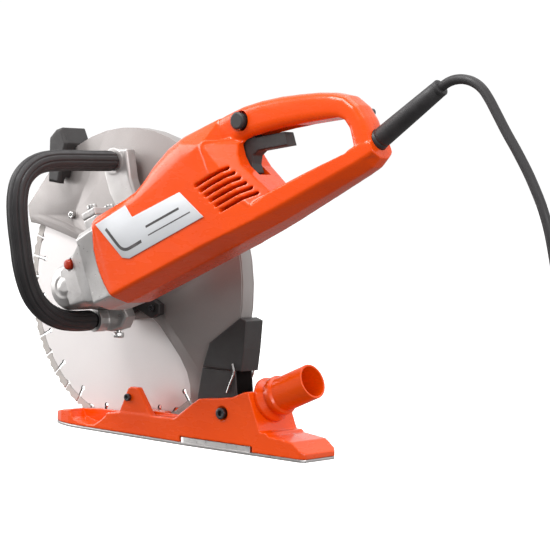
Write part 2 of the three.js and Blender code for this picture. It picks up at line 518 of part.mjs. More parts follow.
function makeFrontHandle() {
  add(machine, "handle_tube", tube([TUBE_TOP, ...TUBE_LOOP, TUBE_BOTTOM], HANDLE_TUBE_RADIUS, 30, 8),
    paint.darkSteel);
  add(machine, "handle_grip", tube(TUBE_LOOP, HANDLE_RADIUS, 26, 10, HANDLE_TUBE_RADIUS + 1.2),
    paint.rubber);

  // Upper casting: a foot on the gear housing, an arm, and a socket round the tube's end.
  const arm = prism([[20, 76], [46, 86], [42, 97], [34, 112], [26, 128], [18, 163], [-8, 163],
    [-19, 148], [-19, 134], [-8, 108], [4, 92]], -33, -17, 2);
  const footTurn = solid(geometryOf(block(60, 82, -MOTOR_OFFSET - 12, -20, FOOT.seat + GAP,
    FOOT.seat + FOOT.thickness)).rotateY(-TILT));
  const socket = tube([[-3, -33.6, 148], [-3, -13, 148.2]], 16, 1, 16);
  const bore = tube([[-3, -60, 147.6], [-3, -18.5, 148.2]], HANDLE_TUBE_RADIUS + GAP + 0.3, 1, 16);
  const boltHoles = FOOT.bolts.map((y) => solid(geometryOf(bracketHole(y)).rotateY(-TILT)));
  add(machine, "handle_bracket_upper", cut(join(arm, footTurn, socket), bore, ...boltHoles), paint.castMetal);
  FOOT.bolts.forEach((y, i) => {
    const head = new THREE.CylinderGeometry(6, 6, 6, 12).rotateX(Math.PI / 2);
    const place = FOOT.seat + FOOT.thickness + GAP + 3;
    const cap = solid(head.translate(FOOT.s, y, place));
    const shank = solid(new THREE.CylinderGeometry(3, 3, 20, 10).rotateX(Math.PI / 2)
      .translate(FOOT.s, y, place - 10));
    add(motor, "bracket_bolt_" + (i + 1), join(cap, shank), paint.steel);
  });

  // Lower casting: a clamp ring round the bearing neck and an arm to the tube's lower end.
  const ring = turned([[NECK.radius + GAP, -44], [NECK.radius + 7, -44], [NECK.radius + 7, -26],
    [NECK.radius + GAP, -26]], 28);
  const lug = prism([[-16, -26], [30, -22], [38, -34], [30, -48], [12, -54], [-14, -53], [-20, -44]],
    -44, -26, 2);
  const lowerSocket = tube([[-3, -57.4, LOWER_RUN], [-3, -40, LOWER_RUN]], 14, 1, 14);
  const lowerBore = tube([[-3, -70, LOWER_RUN], [-3, -47.5, LOWER_RUN]], HANDLE_TUBE_RADIUS + GAP + 0.3,
    1, 16);
  const clear = pin(0, 0, -60, -10, NECK.radius + GAP, 28);
  const clampHole = block(13, 19, -36.5, -30.5, -70, -20);
  add(machine, "handle_bracket_lower", cut(join(ring, lug, lowerSocket), lowerBore, clear, clampHole),
    paint.castMetal);
  const clampHead = prism(circle(6.5, 6, 0, 2 * Math.PI, 16, 0), -3, 3);
  const clampCap = solid(geometryOf(clampHead).translate(-16, 0, 0).rotateX(Math.PI / 2)
    .translate(16, -33.5, -58));
  const clampShank = solid(new THREE.CylinderGeometry(2.5, 2.5, 20, 10).rotateX(Math.PI / 2)
    .translate(16, -33.5, -46));
  add(machine, "clamp_bolt", join(clampCap, clampShank), paint.steel);
}

// ---- Guard ----
const GUARD_END = -45; // degrees, rear lower end of the rim
const FACET = { normal: 138.7, distance: GUARD_RADIUS + 3.8 }; // flat front part of the rim
const FRONT_EDGE = [[-179, 88.5], [-176, 76.5], [-172, 67.5], [-161, 66.5], [-146, 64], [-118.7, 57.9],
  [-86, 49.5], [-38, 34]];
const LOWER_EDGE = [[-36, -22], [-14, -40], [12, -41], [38, -37], [46.6, -36.5], [58.6, -44.9],
  [75.7, -61.5], [92.8, -78.7], [104.8, -95.5], [110.3, -110], [112, -126], [118, -133]];
const HUB_HOLE = NECK.spigot + FIT;

// The rim's outline at a given distance inside the outer surface, from the rear end to the facet.
function rimOutline(inset, start = GUARD_END) {
  const first = THREE.MathUtils.degToRad(start);
  const normal = THREE.MathUtils.degToRad(FACET.normal);
  const turn = Math.acos(GUARD_RADIUS / FACET.distance);
  const radius = GUARD_RADIUS - inset;
  const points = circle(radius, 44, first, normal - turn);
  const reach = (FACET.distance - inset) * Math.sin(turn) + 2;
  for (const step of [-reach * 0.2, FRONT_REACH]) {
    points.push([
      (FACET.distance - inset) * Math.cos(normal) - step * Math.sin(normal),
      (FACET.distance - inset) * Math.sin(normal) + step * Math.cos(normal),
    ]);
  }
  return points;
}
const FRONT_REACH = 51.6; // facet's length past its normal

function makeGuard() {
  const outline = [...rimOutline(0), ...FRONT_EDGE.slice(1), ...LOWER_EDGE];
  const rimEnd = GUARD_FAR - GUARD_SHEET - GAP;
  const full = prism(outline, GUARD_NEAR, rimEnd);
  const inside = [...rimOutline(GUARD_SHEET, GUARD_END - 8), [-240, 120], [-240, -40], [-60, -60],
    [0, -120], [60, -200]];
  const hollow = prism(inside, GUARD_NEAR + GUARD_SHEET, rimEnd + 5);
  const hub = pin(0, 0, GUARD_NEAR - 5, rimEnd + 5, HUB_HOLE, 32);
  const clipHole = pin(CLIP.x, CLIP.z, GUARD_NEAR - 5, GUARD_NEAR + 5, 2.8, 10);
  const lugHole = pin(LUG.x, LUG.z, GUARD_NEAR - 5, GUARD_NEAR + 5, 2.8, 10);
  const panel = prism(PANEL, GUARD_NEAR - PANEL_RAISE, GUARD_NEAR + 0.5);
  add(guard, "guard_shell", cut(join(full, panel), hollow, hub, clipHole, lugHole), paint.guardGrey);

  const access = pin(0, 0, 0, 40, COVER_OPENING, 40);
  const cover = prism(outline, GUARD_FAR - GUARD_SHEET, GUARD_FAR);
  const below = prism([[-260, 49], [-40, 20], [-20, -60], [40, -60], [100, -160], [-260, -200]], 0, 40);
  add(guard, "guard_cover", cut(cover, access, below), paint.guardGrey);

  const [rimX, rimZ] = [GUARD_RADIUS * Math.cos(KNOB_ANGLE), GUARD_RADIUS * Math.sin(KNOB_ANGLE)];
  const onRim = (points) => points.map(([x, z]) => [rimX + x, rimZ + z]);
  const knob = prism(onRim(KNOB), GUARD_NEAR - 18, GUARD_FAR + 6, 3);
  const rimRoom = prism([...rimOutline(-GAP - 0.1, 40), [-230, 0], [0, 0]], GUARD_NEAR - GAP,
    GUARD_FAR + GAP + 0.4);
  const underCut = prism(onRim(KNOB_UNDERCUT), GUARD_NEAR - 9, GUARD_FAR + 20);
  add(guard, "guard_handle", cut(knob, rimRoom, underCut), paint.darkPlastic);

  add(guard, "guard_clip", screw(CLIP.x, CLIP.z, GUARD_NEAR - GAP, 4, -1, 2.4, 4.5), paint.steel);
  const clampRing = turned([[NECK.spigot + FIT, GUARD_NEAR - GAP], [NECK.spigot + 11, GUARD_NEAR - GAP],
    [NECK.spigot + 11, NECK.end + FIT], [NECK.spigot + FIT, NECK.end + FIT]], 32);
  const ear = prism([[34, -4], [66, -18], [66, -30], [52, -36], [28, -26]], NECK.end - 6,
    GUARD_NEAR - GAP, 1);
  const neckRoom = pin(0, 0, -60, NECK.end + FIT, NECK.radius + FIT, 32);
  const core = pin(0, 0, -60, 20, NECK.spigot + FIT, 32);
  const earHole = pin(LUG.x, LUG.z, -40, 0, 2.8, 10);
  const panelRoom = prism(PANEL, GUARD_NEAR - PANEL_RAISE - GAP, GUARD_NEAR + 0.5);
  const clamp = cut(join(clampRing, ear), neckRoom, core, earHole, panelRoom);
  add(guard, "guard_clamp", clamp, paint.darkPlastic);
  add(guard, "guard_screw", screw(LUG.x, LUG.z, NECK.end - 6 - GAP, 11, -1), paint.darkSteel);
}
// Raised rear panel of the near wall.
const PANEL = [[48, -13.5], [127, -93], [140, -93], [151, -60], [182, -32],
  ...circle(GUARD_RADIUS - 1.5, 56, -0.12, 0.62), [100, 60]];
const PANEL_RAISE = 1.3;
const CLIP = { x: -96, z: 80 };
const LUG = { x: 56, z: -24 };
// Carrying handle on the rim, drawn from the rim's point at KNOB_ANGLE.
const KNOB_ANGLE = THREE.MathUtils.degToRad(127);
const KNOB = [[-11.26, -30.94], [9.74, -32.94], [15.74, -0.94], [20.74, 17.06], [10.74, 36.06],
  [-0.26, 33.06], [-11.26, 23.06]];
const KNOB_UNDERCUT = [[-26.26, -50.94], [53.74, -50.94], [53.74, -20.94], [-26.26, -28.94]];
const COVER_OPENING = 62;

// ---- Dust chute on the guard ----
const CHUTE = { near: -14, far: 16, wall: 2 };

function chuteWalls(outline, inner) {
  const room = prism(inner, CHUTE.near + CHUTE.wall, CHUTE.far - CHUTE.wall);
  return cut(prism(outline, CHUTE.near, CHUTE.far, 0.8), room);
}

function makeChute() {
  const guardRoom = prism([...rimOutline(-GAP - 0.1, -70), [-200, 0], [0, 0]],
    GUARD_NEAR - GAP - 1.2 - GAP, GUARD_FAR + GAP);
  const pivotZ = PIVOT.z - AXIS_Z;
  const fromPivot = (points) => points.map(([x, z]) => [PIVOT.x + x, pivotZ + z]);
  const upperOutline = fromPivot([[-50.4, 47.3], [-41, 76], [5, 108.5], [15, 105.5], [13, 73.5], [10, 47.3]]);
  const upperRoom = fromPivot([[-85, 38.5], [-55, 73.5], [-5, 113.5], [2, 103.5], [7, 73.5], [5, 38.5]]);
  const upper = cut(chuteWalls(upperOutline, upperRoom), guardRoom);
  add(guard, "dust_chute_upper", upper, paint.darkPlastic);

  const lowerOutline = fromPivot([[-50.7, 46.7], [-57, 10.5], [-47, -3.5], [-13, -10.5],
    ...circle(10, 16, -2.2, 0.4), [4, 21.5], [1, 46.7]]);
  const lowerRoom = fromPivot([[-85, 53.5], [-54, 41.5], [-59, 11.5], [-47, -16.5], [-13, -16.5],
    [-9, 13.5], [15, 15.5], [15, 41.5], [-9, 53.5]]);
  const bore = pin(PIVOT.x, pivotZ, -40, 60, PIVOT.radius + FIT, 16);
  const lower = cut(chuteWalls(lowerOutline, lowerRoom), guardRoom, bore);
  add(guard, "dust_chute_lower", lower, paint.darkPlastic);

  const wire = fromPivot([[-2, 55.5], [1, 45.5], [-4, 33.5], [-9, 21.5]]);
  for (const [name, y] of [["chute_clip_near", CHUTE.near - 1.8], ["chute_clip_far", CHUTE.far + 1.8]]) {
    add(guard, name, tube(wire.map(([x, z]) => [x, y, z]), 1.2, 8, 8), paint.steel);
  }
}

// ---- Base ----
const CAVITY = { start: 80, end: PIVOT.x + 29, near: -18.5, far: 21.5 };
const BLADE_SLOT = 6; // half width of the slot, which is open through the nose
const BASE_PROFILE = [[-BASE_NOSE, 0], [-BASE_NOSE, 6], [-104, 11], [-80, 16], [-63, 18], [-40, 20],
  [4, 21], [23, 24], [112, 26], [PIVOT.x - 35, 53], [PIVOT.x - 14, 55], [PIVOT.x + 13, 59],
  [PIVOT.x + 32, 67], [PIVOT.x + 46, 68], [PIVOT.x + 51, 60], [PIVOT.x + 61, 26], [PIVOT.x + 67, 21],
  [BASE_LENGTH_REAR - 18, 18], [BASE_LENGTH_REAR, 6], [BASE_LENGTH_REAR, 0]];
const SCOOP = [[-67, 60], [-63, 16], [-58, 8], [-45, 5], [-33, 3], [-21, 4], [-10, 10], [0, 18], [5, 60]];
const EAR = [[20, 20], [35, 53], [39, 56], [52, 56], [76, 24]];
const EAR_BOLT = { x: 38, z: 46.5 };
const NOSE_START = -44;
const TAPER_START = 130; // the base narrows by 5 mm a side over the next 100 mm
const TAB = { start: 125, end: 227, inset: 0.6, wall: 2 }; // upturned edge of the sole plate

// A strip along the base's side, from an outer to an inner distance inside its edge.
function edgeStrip(side, start, end, outer, inner, z0, z1) {
  const at = (x, inset) =>
    [x, BASE_MIDDLE + side * (BASE_HALF_WIDTH - Math.max(0, x - TAPER_START) * 0.05 - inset)];
  return slab([at(start, outer), at(TAPER_START, outer), at(end, outer), at(end, inner),
    at(TAPER_START, inner), at(start, inner)], z0, z1);
}

function planOutline() {
  const near = BASE_MIDDLE - BASE_HALF_WIDTH;
  const far = BASE_MIDDLE + BASE_HALF_WIDTH;
  const nose = circle(1, 20, Math.PI / 2, (3 * Math.PI) / 2).slice(1, -1)
    .map(([x, y]) => [NOSE_START + x * (BASE_NOSE + NOSE_START), BASE_MIDDLE + y * BASE_HALF_WIDTH]);
  return [[TAPER_START, near], [230, near + 5], [298, near + 8], [BASE_LENGTH_REAR, near + 13],
    [BASE_LENGTH_REAR, far - 13], [298, far - 8], [230, far - 5], [TAPER_START, far],
    [NOSE_START, far], ...nose, [NOSE_START, near]];
}

function slotCutter(z0, z1) {
  const front = block(-BASE_NOSE - 5, CAVITY.start + 5, -BLADE_SLOT, BLADE_SLOT, z0, z1);
  return join(front, block(CAVITY.start, CAVITY.end, CAVITY.near, CAVITY.far, z0, z1));
}

function makeBase() {
  const near = BASE_MIDDLE - BASE_HALF_WIDTH;
  const far = BASE_MIDDLE + BASE_HALF_WIDTH;
  const lift = SOLE_THICKNESS + GAP;
  const up = (points) => points.map(([x, z]) => [x, z + lift]);
  const body = prism(up(BASE_PROFILE), near - 1, far + 1).intersect(slab(planOutline(), 0, 120));
  const rib = prism(up([[4, 10], [14, 29], [118, 29], [118, 10]]), near + 14, far - 14);
  const scoops = [prism(up(SCOOP), near - 5, -BLADE_SLOT - 6), prism(up(SCOOP), BLADE_SLOT + 6, far + 5)];
  const ears = [prism(up(EAR), near + 0.5, near + 9, 1), prism(up(EAR), far - 9, far - 0.5, 1)];
  const tabs = [-1, 1].map((side) =>
    edgeStrip(side, TAB.start - 3, TAB.end + 3, -4, TAB.inset + TAB.wall + 1.4, 0, lift + 6.6));
  const ribs = join(rib, ...ears);
  const bores = [pin(PIVOT.x, PIVOT.z, near - 5, far + 5, PIVOT.radius + GAP, 16),
    pin(PIVOT.x, PIVOT.z, near - 5, near + 5.6, 8, 20), pin(PIVOT.x, PIVOT.z, far - 6, far + 5, 8.6, 20),
    pin(EAR_BOLT.x, EAR_BOLT.z, near - 5, near + 20, 2.4 + GAP, 10),
    pin(EAR_BOLT.x, EAR_BOLT.z, far - 20, far + 5, 2.4 + GAP, 10)];
  const duct = solid(geometryOf(turned([[0, -20], [PORT.inner, -20], [PORT.inner, 60], [0, 60]], 24))
    .rotateZ(-Math.PI / 2).rotateY(-PORT.tilt).translate(PORT.x - 12, BASE_MIDDLE, PORT.z - 5));
  const screwHoles = SOLE_SCREWS.map(([x, y]) => solid(new THREE.CylinderGeometry(2.2, 2.2, 30, 10)
    .rotateX(Math.PI / 2).translate(x, y, 0)));
  const seatCut = solid(geometryOf(block(0, 60, -40, 40, -60, 60)).rotateY(-PORT.tilt)
    .translate(PORT.x, BASE_MIDDLE, PORT.z));
  const trimmed = cut(body, seatCut.intersect(block(PIVOT.x + 15, PIVOT.x + 75, -60, 60, 24 + lift, 100)));
  const shell = cut(join(trimmed, ribs), ...scoops, slotCutter(-10, 120), ...tabs, ...bores, duct,
    ...screwHoles);
  add(base, "base_shell", shell, paint.orange);

  const sole = cut(slab(planOutline(), 0, SOLE_THICKNESS), slotCutter(-1, 10), ...screwHoles);
  const lips = [-1, 1].map((side) =>
    edgeStrip(side, TAB.start, TAB.end, TAB.inset, TAB.inset + TAB.wall, 1, lift + 6));
  add(base, "sole_plate", join(sole, ...lips), paint.steel);
  SOLE_SCREWS.forEach(([x, y], i) => {
    const shank = new THREE.CylinderGeometry(1.9, 1.9, 12, 10).rotateX(Math.PI / 2);
    add(base, "sole_screw_" + (i + 1), solid(shank.translate(x, y, 7)), paint.darkSteel);
  });

  // Dust port: a flange on the block's rear face and a tube for the hose.
  const seat = GAP;
  const collar = PORT.outer + 3;
  const profile = [[PORT.inner, seat], [PORT.outer + 6, seat], [PORT.outer + 6, seat + 4],
    [PORT.outer, seat + 9], [PORT.outer, seat + 14], [collar, seat + 14], [collar, seat + 20],
    [PORT.outer, seat + 22], [PORT.outer, PORT.length], [PORT.inner, PORT.length]];
  const port = geometryOf(turned(profile, 28)).rotateZ(-Math.PI / 2).rotateY(-PORT.tilt)
    .translate(PORT.x, BASE_MIDDLE, PORT.z);
  add(base, "hose_port", solid(port), paint.orange);

  add(base, "ear_bolt", screw(EAR_BOLT.x, EAR_BOLT.z, near + 0.5 - GAP, 11, -1, 2.4, 4.5), paint.darkSteel);
  const pivotEnd = far - 6 + 1;
  const bolt = join(pin(PIVOT.x, PIVOT.z, near + 5, pivotEnd + 4, PIVOT.radius, 16),
    screw(PIVOT.x, PIVOT.z, near + 5.3, 2, -1, PIVOT.radius, 6.5));
  add(base, "pivot_bolt", bolt, paint.darkSteel);
  const nut = prism(circle(7, 6, 0, 2 * Math.PI, PIVOT.x, PIVOT.z), far - 6 + GAP, far - 1);
  add(base, "pivot_nut", cut(nut, pin(PIVOT.x, PIVOT.z, 0, 80, PIVOT.radius + GAP, 16)), paint.darkSteel);
}
const PORT = { x: PIVOT.x + 41, z: 60, tilt: THREE.MathUtils.degToRad(24), inner: HOSE_OUTER - HOSE_WALL,
  outer: HOSE_OUTER, length: 68 };
const SOLE_SCREWS = [[60, 30], [BASE_LENGTH_REAR - 41, -16]];

// ---- Cord: strain relief, free cord, coil and plug ----
const COIL = { x: 775, y: -25, inner: 35, outer: 85, height: 20.6 };
const CORD_ROUTE = [[524.1, -99, 409.7], [533.3, -99, 414.6], [543.8, -99, 417], [554.2, -99, 416.5],
  [564.2, -99, 413.4], [573, -99, 407.7], [580, -99, 400], [591.5, -99, 383.6], [602, -99, 368],
  [619, -99, 344.5], [636, -99, 318], [652, -99, 286], [663, -99, 250], [671, -99.5, 212],
  [677, -100.5, 172], [680, -102, 132], [681, -103.5, 92], [682.5, -104.5, 62], [688, -105, 41],
  [699, -105, 26], [715, -105, 17.5], [734.7, -105, 15.4]];

function makeCord() {
  const mid = -MOTOR_OFFSET;
  const sleeve = turned([[CORD_RADIUS + GAP, -12], [STRAIN.base, -12], [STRAIN.base, 3],
    [STRAIN.base - 0.6, 6], [STRAIN.end, STRAIN.length], [CORD_RADIUS + GAP, STRAIN.length]], 16);
  const placed = geometryOf(sleeve).rotateZ(-Math.PI / 2).rotateY(-STRAIN.tilt)
    .translate(REAR_FACE, mid, STRAIN.height);
  add(motor, "strain_relief", solid(placed), paint.rubber);

  add(cordGroup, "power_cord", tube(CORD_ROUTE, CORD_RADIUS, 32, 8), paint.rubber);
  const ring = turned([[COIL.inner, 0.3], [COIL.outer, 0.3], [COIL.outer, COIL.height],
    [COIL.inner, COIL.height]], 32);
  add(cordGroup, "cord_coil", solid(geometryOf(ring).rotateX(Math.PI / 2).translate(COIL.x, COIL.y, 0)),
    paint.rubber);

  // The plug lies beside the coil, in line with its outer turn.
  const [start, body] = [COIL.x + 47, COIL.y - COIL.outer + CORD_RADIUS];
  const barrel = turned([[0, 0], [6, 0], [8, 16], [15, 24], [17, 34], [17, 58], [0, 58]], 20);
  const pins = [-9.5, 9.5].map((y) => block(57, 77, y - 2, y + 2, -2, 2));
  const plug = join(solid(geometryOf(barrel).rotateZ(-Math.PI / 2)), ...pins);
  add(cordGroup, "power_plug", solid(geometryOf(plug).translate(start, body, 17.2)), paint.rubber);
}

makeCutter();
makeArmature();
makeBody();
makeControls();
makeMotorParts();
makeGearHousing();
makeFrontHandle();
makeGuard();
makeChute();
makeBase();
makeCord();

// The origin is at the bottom centre of the saw's own pieces.
saw.updateMatrixWorld(true);
const bounds = new THREE.Box3();
for (const group of [base, guard, machine, motor, cutter]) {
  for (const mesh of group.children) {
    if (mesh.name !== "strain_relief") bounds.expandByObject(mesh, true);
  }
}
const middle = bounds.getCenter(new THREE.Vector3());
for (const group of saw.children) group.position.sub(new THREE.Vector3(middle.x, middle.y, bounds.min.z));

export default saw;
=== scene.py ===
# Looks of an electric cut-off saw with a 350 mm diamond blade, a closed dust guard and a plunge base.
# Metres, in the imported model's frame. Shapes are worked out from the blade's centre, which is AXIS.
import json
import math

import bmesh
import bpy
from mathutils import Matrix, Vector

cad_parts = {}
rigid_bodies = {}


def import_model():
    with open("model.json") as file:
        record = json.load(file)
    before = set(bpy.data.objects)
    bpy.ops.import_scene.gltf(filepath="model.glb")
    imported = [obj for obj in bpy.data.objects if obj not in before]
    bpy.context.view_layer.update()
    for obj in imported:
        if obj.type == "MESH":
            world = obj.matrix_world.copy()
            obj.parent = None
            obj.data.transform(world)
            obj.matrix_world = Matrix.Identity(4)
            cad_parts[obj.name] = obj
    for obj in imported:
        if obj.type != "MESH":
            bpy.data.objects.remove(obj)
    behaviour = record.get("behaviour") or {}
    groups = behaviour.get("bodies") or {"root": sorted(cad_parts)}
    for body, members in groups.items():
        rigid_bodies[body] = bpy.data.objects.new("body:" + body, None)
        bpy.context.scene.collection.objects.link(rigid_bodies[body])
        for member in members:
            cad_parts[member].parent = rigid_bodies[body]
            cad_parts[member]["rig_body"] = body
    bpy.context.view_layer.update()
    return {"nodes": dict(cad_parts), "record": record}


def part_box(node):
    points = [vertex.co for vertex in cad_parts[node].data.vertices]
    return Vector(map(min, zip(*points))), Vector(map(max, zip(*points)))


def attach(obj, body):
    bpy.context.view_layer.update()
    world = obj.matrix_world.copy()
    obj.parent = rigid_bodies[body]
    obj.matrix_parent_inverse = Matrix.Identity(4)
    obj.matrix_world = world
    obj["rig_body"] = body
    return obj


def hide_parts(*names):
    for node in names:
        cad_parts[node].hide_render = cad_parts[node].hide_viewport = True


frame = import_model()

# ---- Places and sizes ----
blade_low, blade_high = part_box("diamond_blade")
AXIS = (blade_low + blade_high) / 2
UNDER_AXIS = Vector((AXIS.x, AXIS.y, 0))  # on the floor under the blade's centre
BLADE_RADIUS = (blade_high.x - blade_low.x) / 2
MOTOR_TILT = math.radians(24.5)
MOTOR_OFFSET = 0.099  # motor axis from the blade plane
CORD_DIAMETER = 0.010
MOTOR = Matrix.Translation(AXIS) @ Matrix.Rotation(-MOTOR_TILT, 4, "Y")  # local X along the motor


def from_floor(point):
    """A point given from the floor under the blade's centre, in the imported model's frame."""
    return UNDER_AXIS + Vector(point)


# ---- Camera ----
CAMERA_ANGLES = (40.87, 3.2, 1.97)  # azimuth, elevation and roll in degrees
CAMERA_PLACE = (1.7042, -1.7048, 0.3286)
CAMERA_LENS = 130.9  # mm, on a sensor 36 mm wide
CAMERA_SENSOR = 36


def make_camera():
    azimuth, elevation, roll = (math.radians(angle) for angle in CAMERA_ANGLES)
    back = Vector((math.sin(azimuth) * math.cos(elevation), -math.cos(azimuth) * math.cos(elevation),
                   math.sin(elevation)))
    level = back.cross(Vector((0, 0, -1))).normalized()
    upright = back.cross(level)
    right = level * math.cos(roll) + upright * math.sin(roll)
    up = upright * math.cos(roll) - level * math.sin(roll)
    data = bpy.data.cameras.new("camera")
    data.sensor_width = CAMERA_SENSOR
    data.lens = CAMERA_LENS
    data.clip_end = 20
    camera = bpy.data.objects.new("camera", data)
    turn = Matrix((right, up, back)).transposed().to_4x4()
    camera.matrix_world = Matrix.Translation(from_floor(CAMERA_PLACE)) @ turn
    bpy.context.scene.collection.objects.link(camera)
    bpy.context.scene.camera = camera


# ---- Materials ----
def shader(name, color, roughness, metallic=0.0, coat=0.0):
    """A Principled material, its node tree and its shader."""
    material = bpy.data.materials.new(name)
    material.use_nodes = True
    tree = material.node_tree
    principled = tree.nodes["Principled BSDF"]
    principled.inputs["Base Color"].default_value = (*color, 1)
    principled.inputs["Roughness"].default_value = roughness
    principled.inputs["Metallic"].default_value = metallic
    principled.inputs["Coat Weight"].default_value = coat
    principled.inputs["Coat Roughness"].default_value = 0.06
    return material, tree, principled


def noise_node(tree, scale, detail=4.0, stretch=(1, 1, 1)):
    """Noise in the object's own coordinates, in cells of 1/scale metres."""
    place = tree.nodes.new("ShaderNodeTexCoord")
    mapping = tree.nodes.new("ShaderNodeMapping")
    mapping.inputs["Scale"].default_value = stretch
    texture = tree.nodes.new("ShaderNodeTexNoise")
    texture.inputs["Scale"].default_value = scale
    texture.inputs["Detail"].default_value = detail
    tree.links.new(place.outputs["Object"], mapping.inputs["Vector"])
    tree.links.new(mapping.outputs["Vector"], texture.inputs["Vector"])
    return texture


def remap(tree, source, low, high, start=0.3, end=0.7):
    """Spreads a value between start and end over low to high."""
    node = tree.nodes.new("ShaderNodeMapRange")
    node.inputs["From Min"].default_value = start
    node.inputs["From Max"].default_value = end
    node.inputs["To Min"].default_value = low
    node.inputs["To Max"].default_value = high
    tree.links.new(source, node.inputs["Value"])
    return node.outputs["Result"]


def mixed(tree, factor, first, second):
    """Two colours mixed by a factor; each is a colour or a socket."""
    node = tree.nodes.new("ShaderNodeMix")
    node.data_type = "RGBA"
    tree.links.new(factor, node.inputs["Factor"])
    for socket, value in ((node.inputs["A"], first), (node.inputs["B"], second)):
        if isinstance(value, tuple):
            socket.default_value = (*value, 1)
        else:
            tree.links.new(value, socket)
    return node.outputs["Result"]


def bump(tree, principled, height, distance, strength=1.0):
    """Adds relief of that many metres on top of any relief already there."""
    node = tree.nodes.new("ShaderNodeBump")
    node.inputs["Distance"].default_value = distance
    node.inputs["Strength"].default_value = strength
    tree.links.new(height, node.inputs["Height"])
    before = principled.inputs["Normal"].links
    if before:
        tree.links.new(before[0].from_socket, node.inputs["Normal"])
    tree.links.new(node.outputs["Normal"], principled.inputs["Normal"])


def worn_edges(tree, principled, color, worn, low=0.52, high=0.6):
    """Lightens convex edges, where handling rubs a surface."""
    geometry = tree.nodes.new("ShaderNodeNewGeometry")
    edge = remap(tree, geometry.outputs["Pointiness"], 0.0, 0.7, low, high)
    patches = remap(tree, noise_node(tree, 90).outputs["Fac"], 0.2, 1.0)
    product = tree.nodes.new("ShaderNodeMath")
    product.operation = "MULTIPLY"
    tree.links.new(edge, product.inputs[0])
    tree.links.new(patches, product.inputs[1])
    tree.links.new(mixed(tree, product.outputs["Value"], color, worn), principled.inputs["Base Color"])


def gloss_plastic(name, color, deep):
    """Glossy moulded plastic: a deep colour under a clear skin with faint orange peel and smears."""
    material, tree, principled = shader(name, color, 0.3, coat=0.25)
    principled.inputs["Specular IOR Level"].default_value = 0.3
    clouds = noise_node(tree, 9)
    tint = mixed(tree, remap(tree, clouds.outputs["Fac"], 0.0, 1.0), color, deep)
    tree.links.new(tint, principled.inputs["Base Color"])
    smears = noise_node(tree, 38, 6, (1, 1, 3))
    tree.links.new(remap(tree, smears.outputs["Fac"], 0.2, 0.34), principled.inputs["Roughness"])
    bump(tree, principled, noise_node(tree, 420, 2).outputs["Fac"], 0.00002)
    return material


def textured_plastic(name, color, worn, roughness=0.5, grain=1600):
    """Spark-eroded moulded plastic, with a fine pebble and paler edges."""
    material, tree, principled = shader(name, color, roughness)
    worn_edges(tree, principled, color, worn)
    pebble = noise_node(tree, grain, 3)
    bump(tree, principled, pebble.outputs["Fac"], 0.00012)
    tree.links.new(remap(tree, noise_node(tree, 60).outputs["Fac"], roughness - 0.08, roughness + 0.1),
                   principled.inputs["Roughness"])
    return material


def soft_rubber(name, color, roughness=0.55):
    material, tree, principled = shader(name, color, roughness)
    dust = remap(tree, noise_node(tree, 45, 6).outputs["Fac"], 0.0, 0.22)
    pale = tuple(min(1, channel * 1.9 + 0.01) for channel in color)
    tree.links.new(mixed(tree, dust, color, pale), principled.inputs["Base Color"])
    bump(tree, principled, noise_node(tree, 2400, 2).outputs["Fac"], 0.00006)
    tree.links.new(remap(tree, noise_node(tree, 90).outputs["Fac"], roughness - 0.1, roughness + 0.12),
                   principled.inputs["Roughness"])
    return material


def cast_metal(name, color, dark):
    """Die-cast aluminium: a soft grain, flow marks and brighter edges."""
    material, tree, principled = shader(name, color, 0.36, metallic=0.75)
    flow = remap(tree, noise_node(tree, 26, 5).outputs["Fac"], 0.0, 1.0)
    worn_edges(tree, principled, mixed(tree, flow, color, dark), (0.95, 0.95, 0.95))
    bump(tree, principled, noise_node(tree, 900, 4).outputs["Fac"], 0.00009)
    bump(tree, principled, noise_node(tree, 120, 2).outputs["Fac"], 0.0002)
    tree.links.new(remap(tree, noise_node(tree, 200, 4).outputs["Fac"], 0.27, 0.46),
                   principled.inputs["Roughness"])
    return material


def painted_metal(name, color, speck):
    """Powder-coated sheet: a metallic grey with fine flake and light scuffs."""
    material, tree, principled = shader(name, color, 0.42, metallic=0.35, coat=0.15)
    flake = remap(tree, noise_node(tree, 3000, 2).outputs["Fac"], 0.0, 0.6)
    scuff = remap(tree, noise_node(tree, 14, 8, (1, 1, 2.5)).outputs["Fac"], 0.0, 0.4, 0.45, 0.7)
    tinted = mixed(tree, flake, color, speck)
    lighter = tuple(min(1, channel * 1.2) for channel in color)
    tree.links.new(mixed(tree, scuff, tinted, lighter), principled.inputs["Base Color"])
    bump(tree, principled, noise_node(tree, 700, 3).outputs["Fac"], 0.00003)
    tree.links.new(remap(tree, noise_node(tree, 30, 6).outputs["Fac"], 0.34, 0.5),
                   principled.inputs["Roughness"])
    return material


def steel(name, color, roughness=0.25, scratches=500):
    """Bare steel with fine machining marks."""
    material, tree, principled = shader(name, color, roughness, metallic=1.0)
    marks = noise_node(tree, scratches, 6, (1, 8, 1))
    tree.links.new(remap(tree, marks.outputs["Fac"], roughness * 0.75, roughness * 1.4),
                   principled.inputs["Roughness"])
    stain = remap(tree, noise_node(tree, 40, 5).outputs["Fac"], 0.0, 0.35)
    darker = tuple(channel * 0.75 for channel in color)
    tree.links.new(mixed(tree, stain, color, darker), principled.inputs["Base Color"])
    bump(tree, principled, marks.outputs["Fac"], 0.00001)
    return material


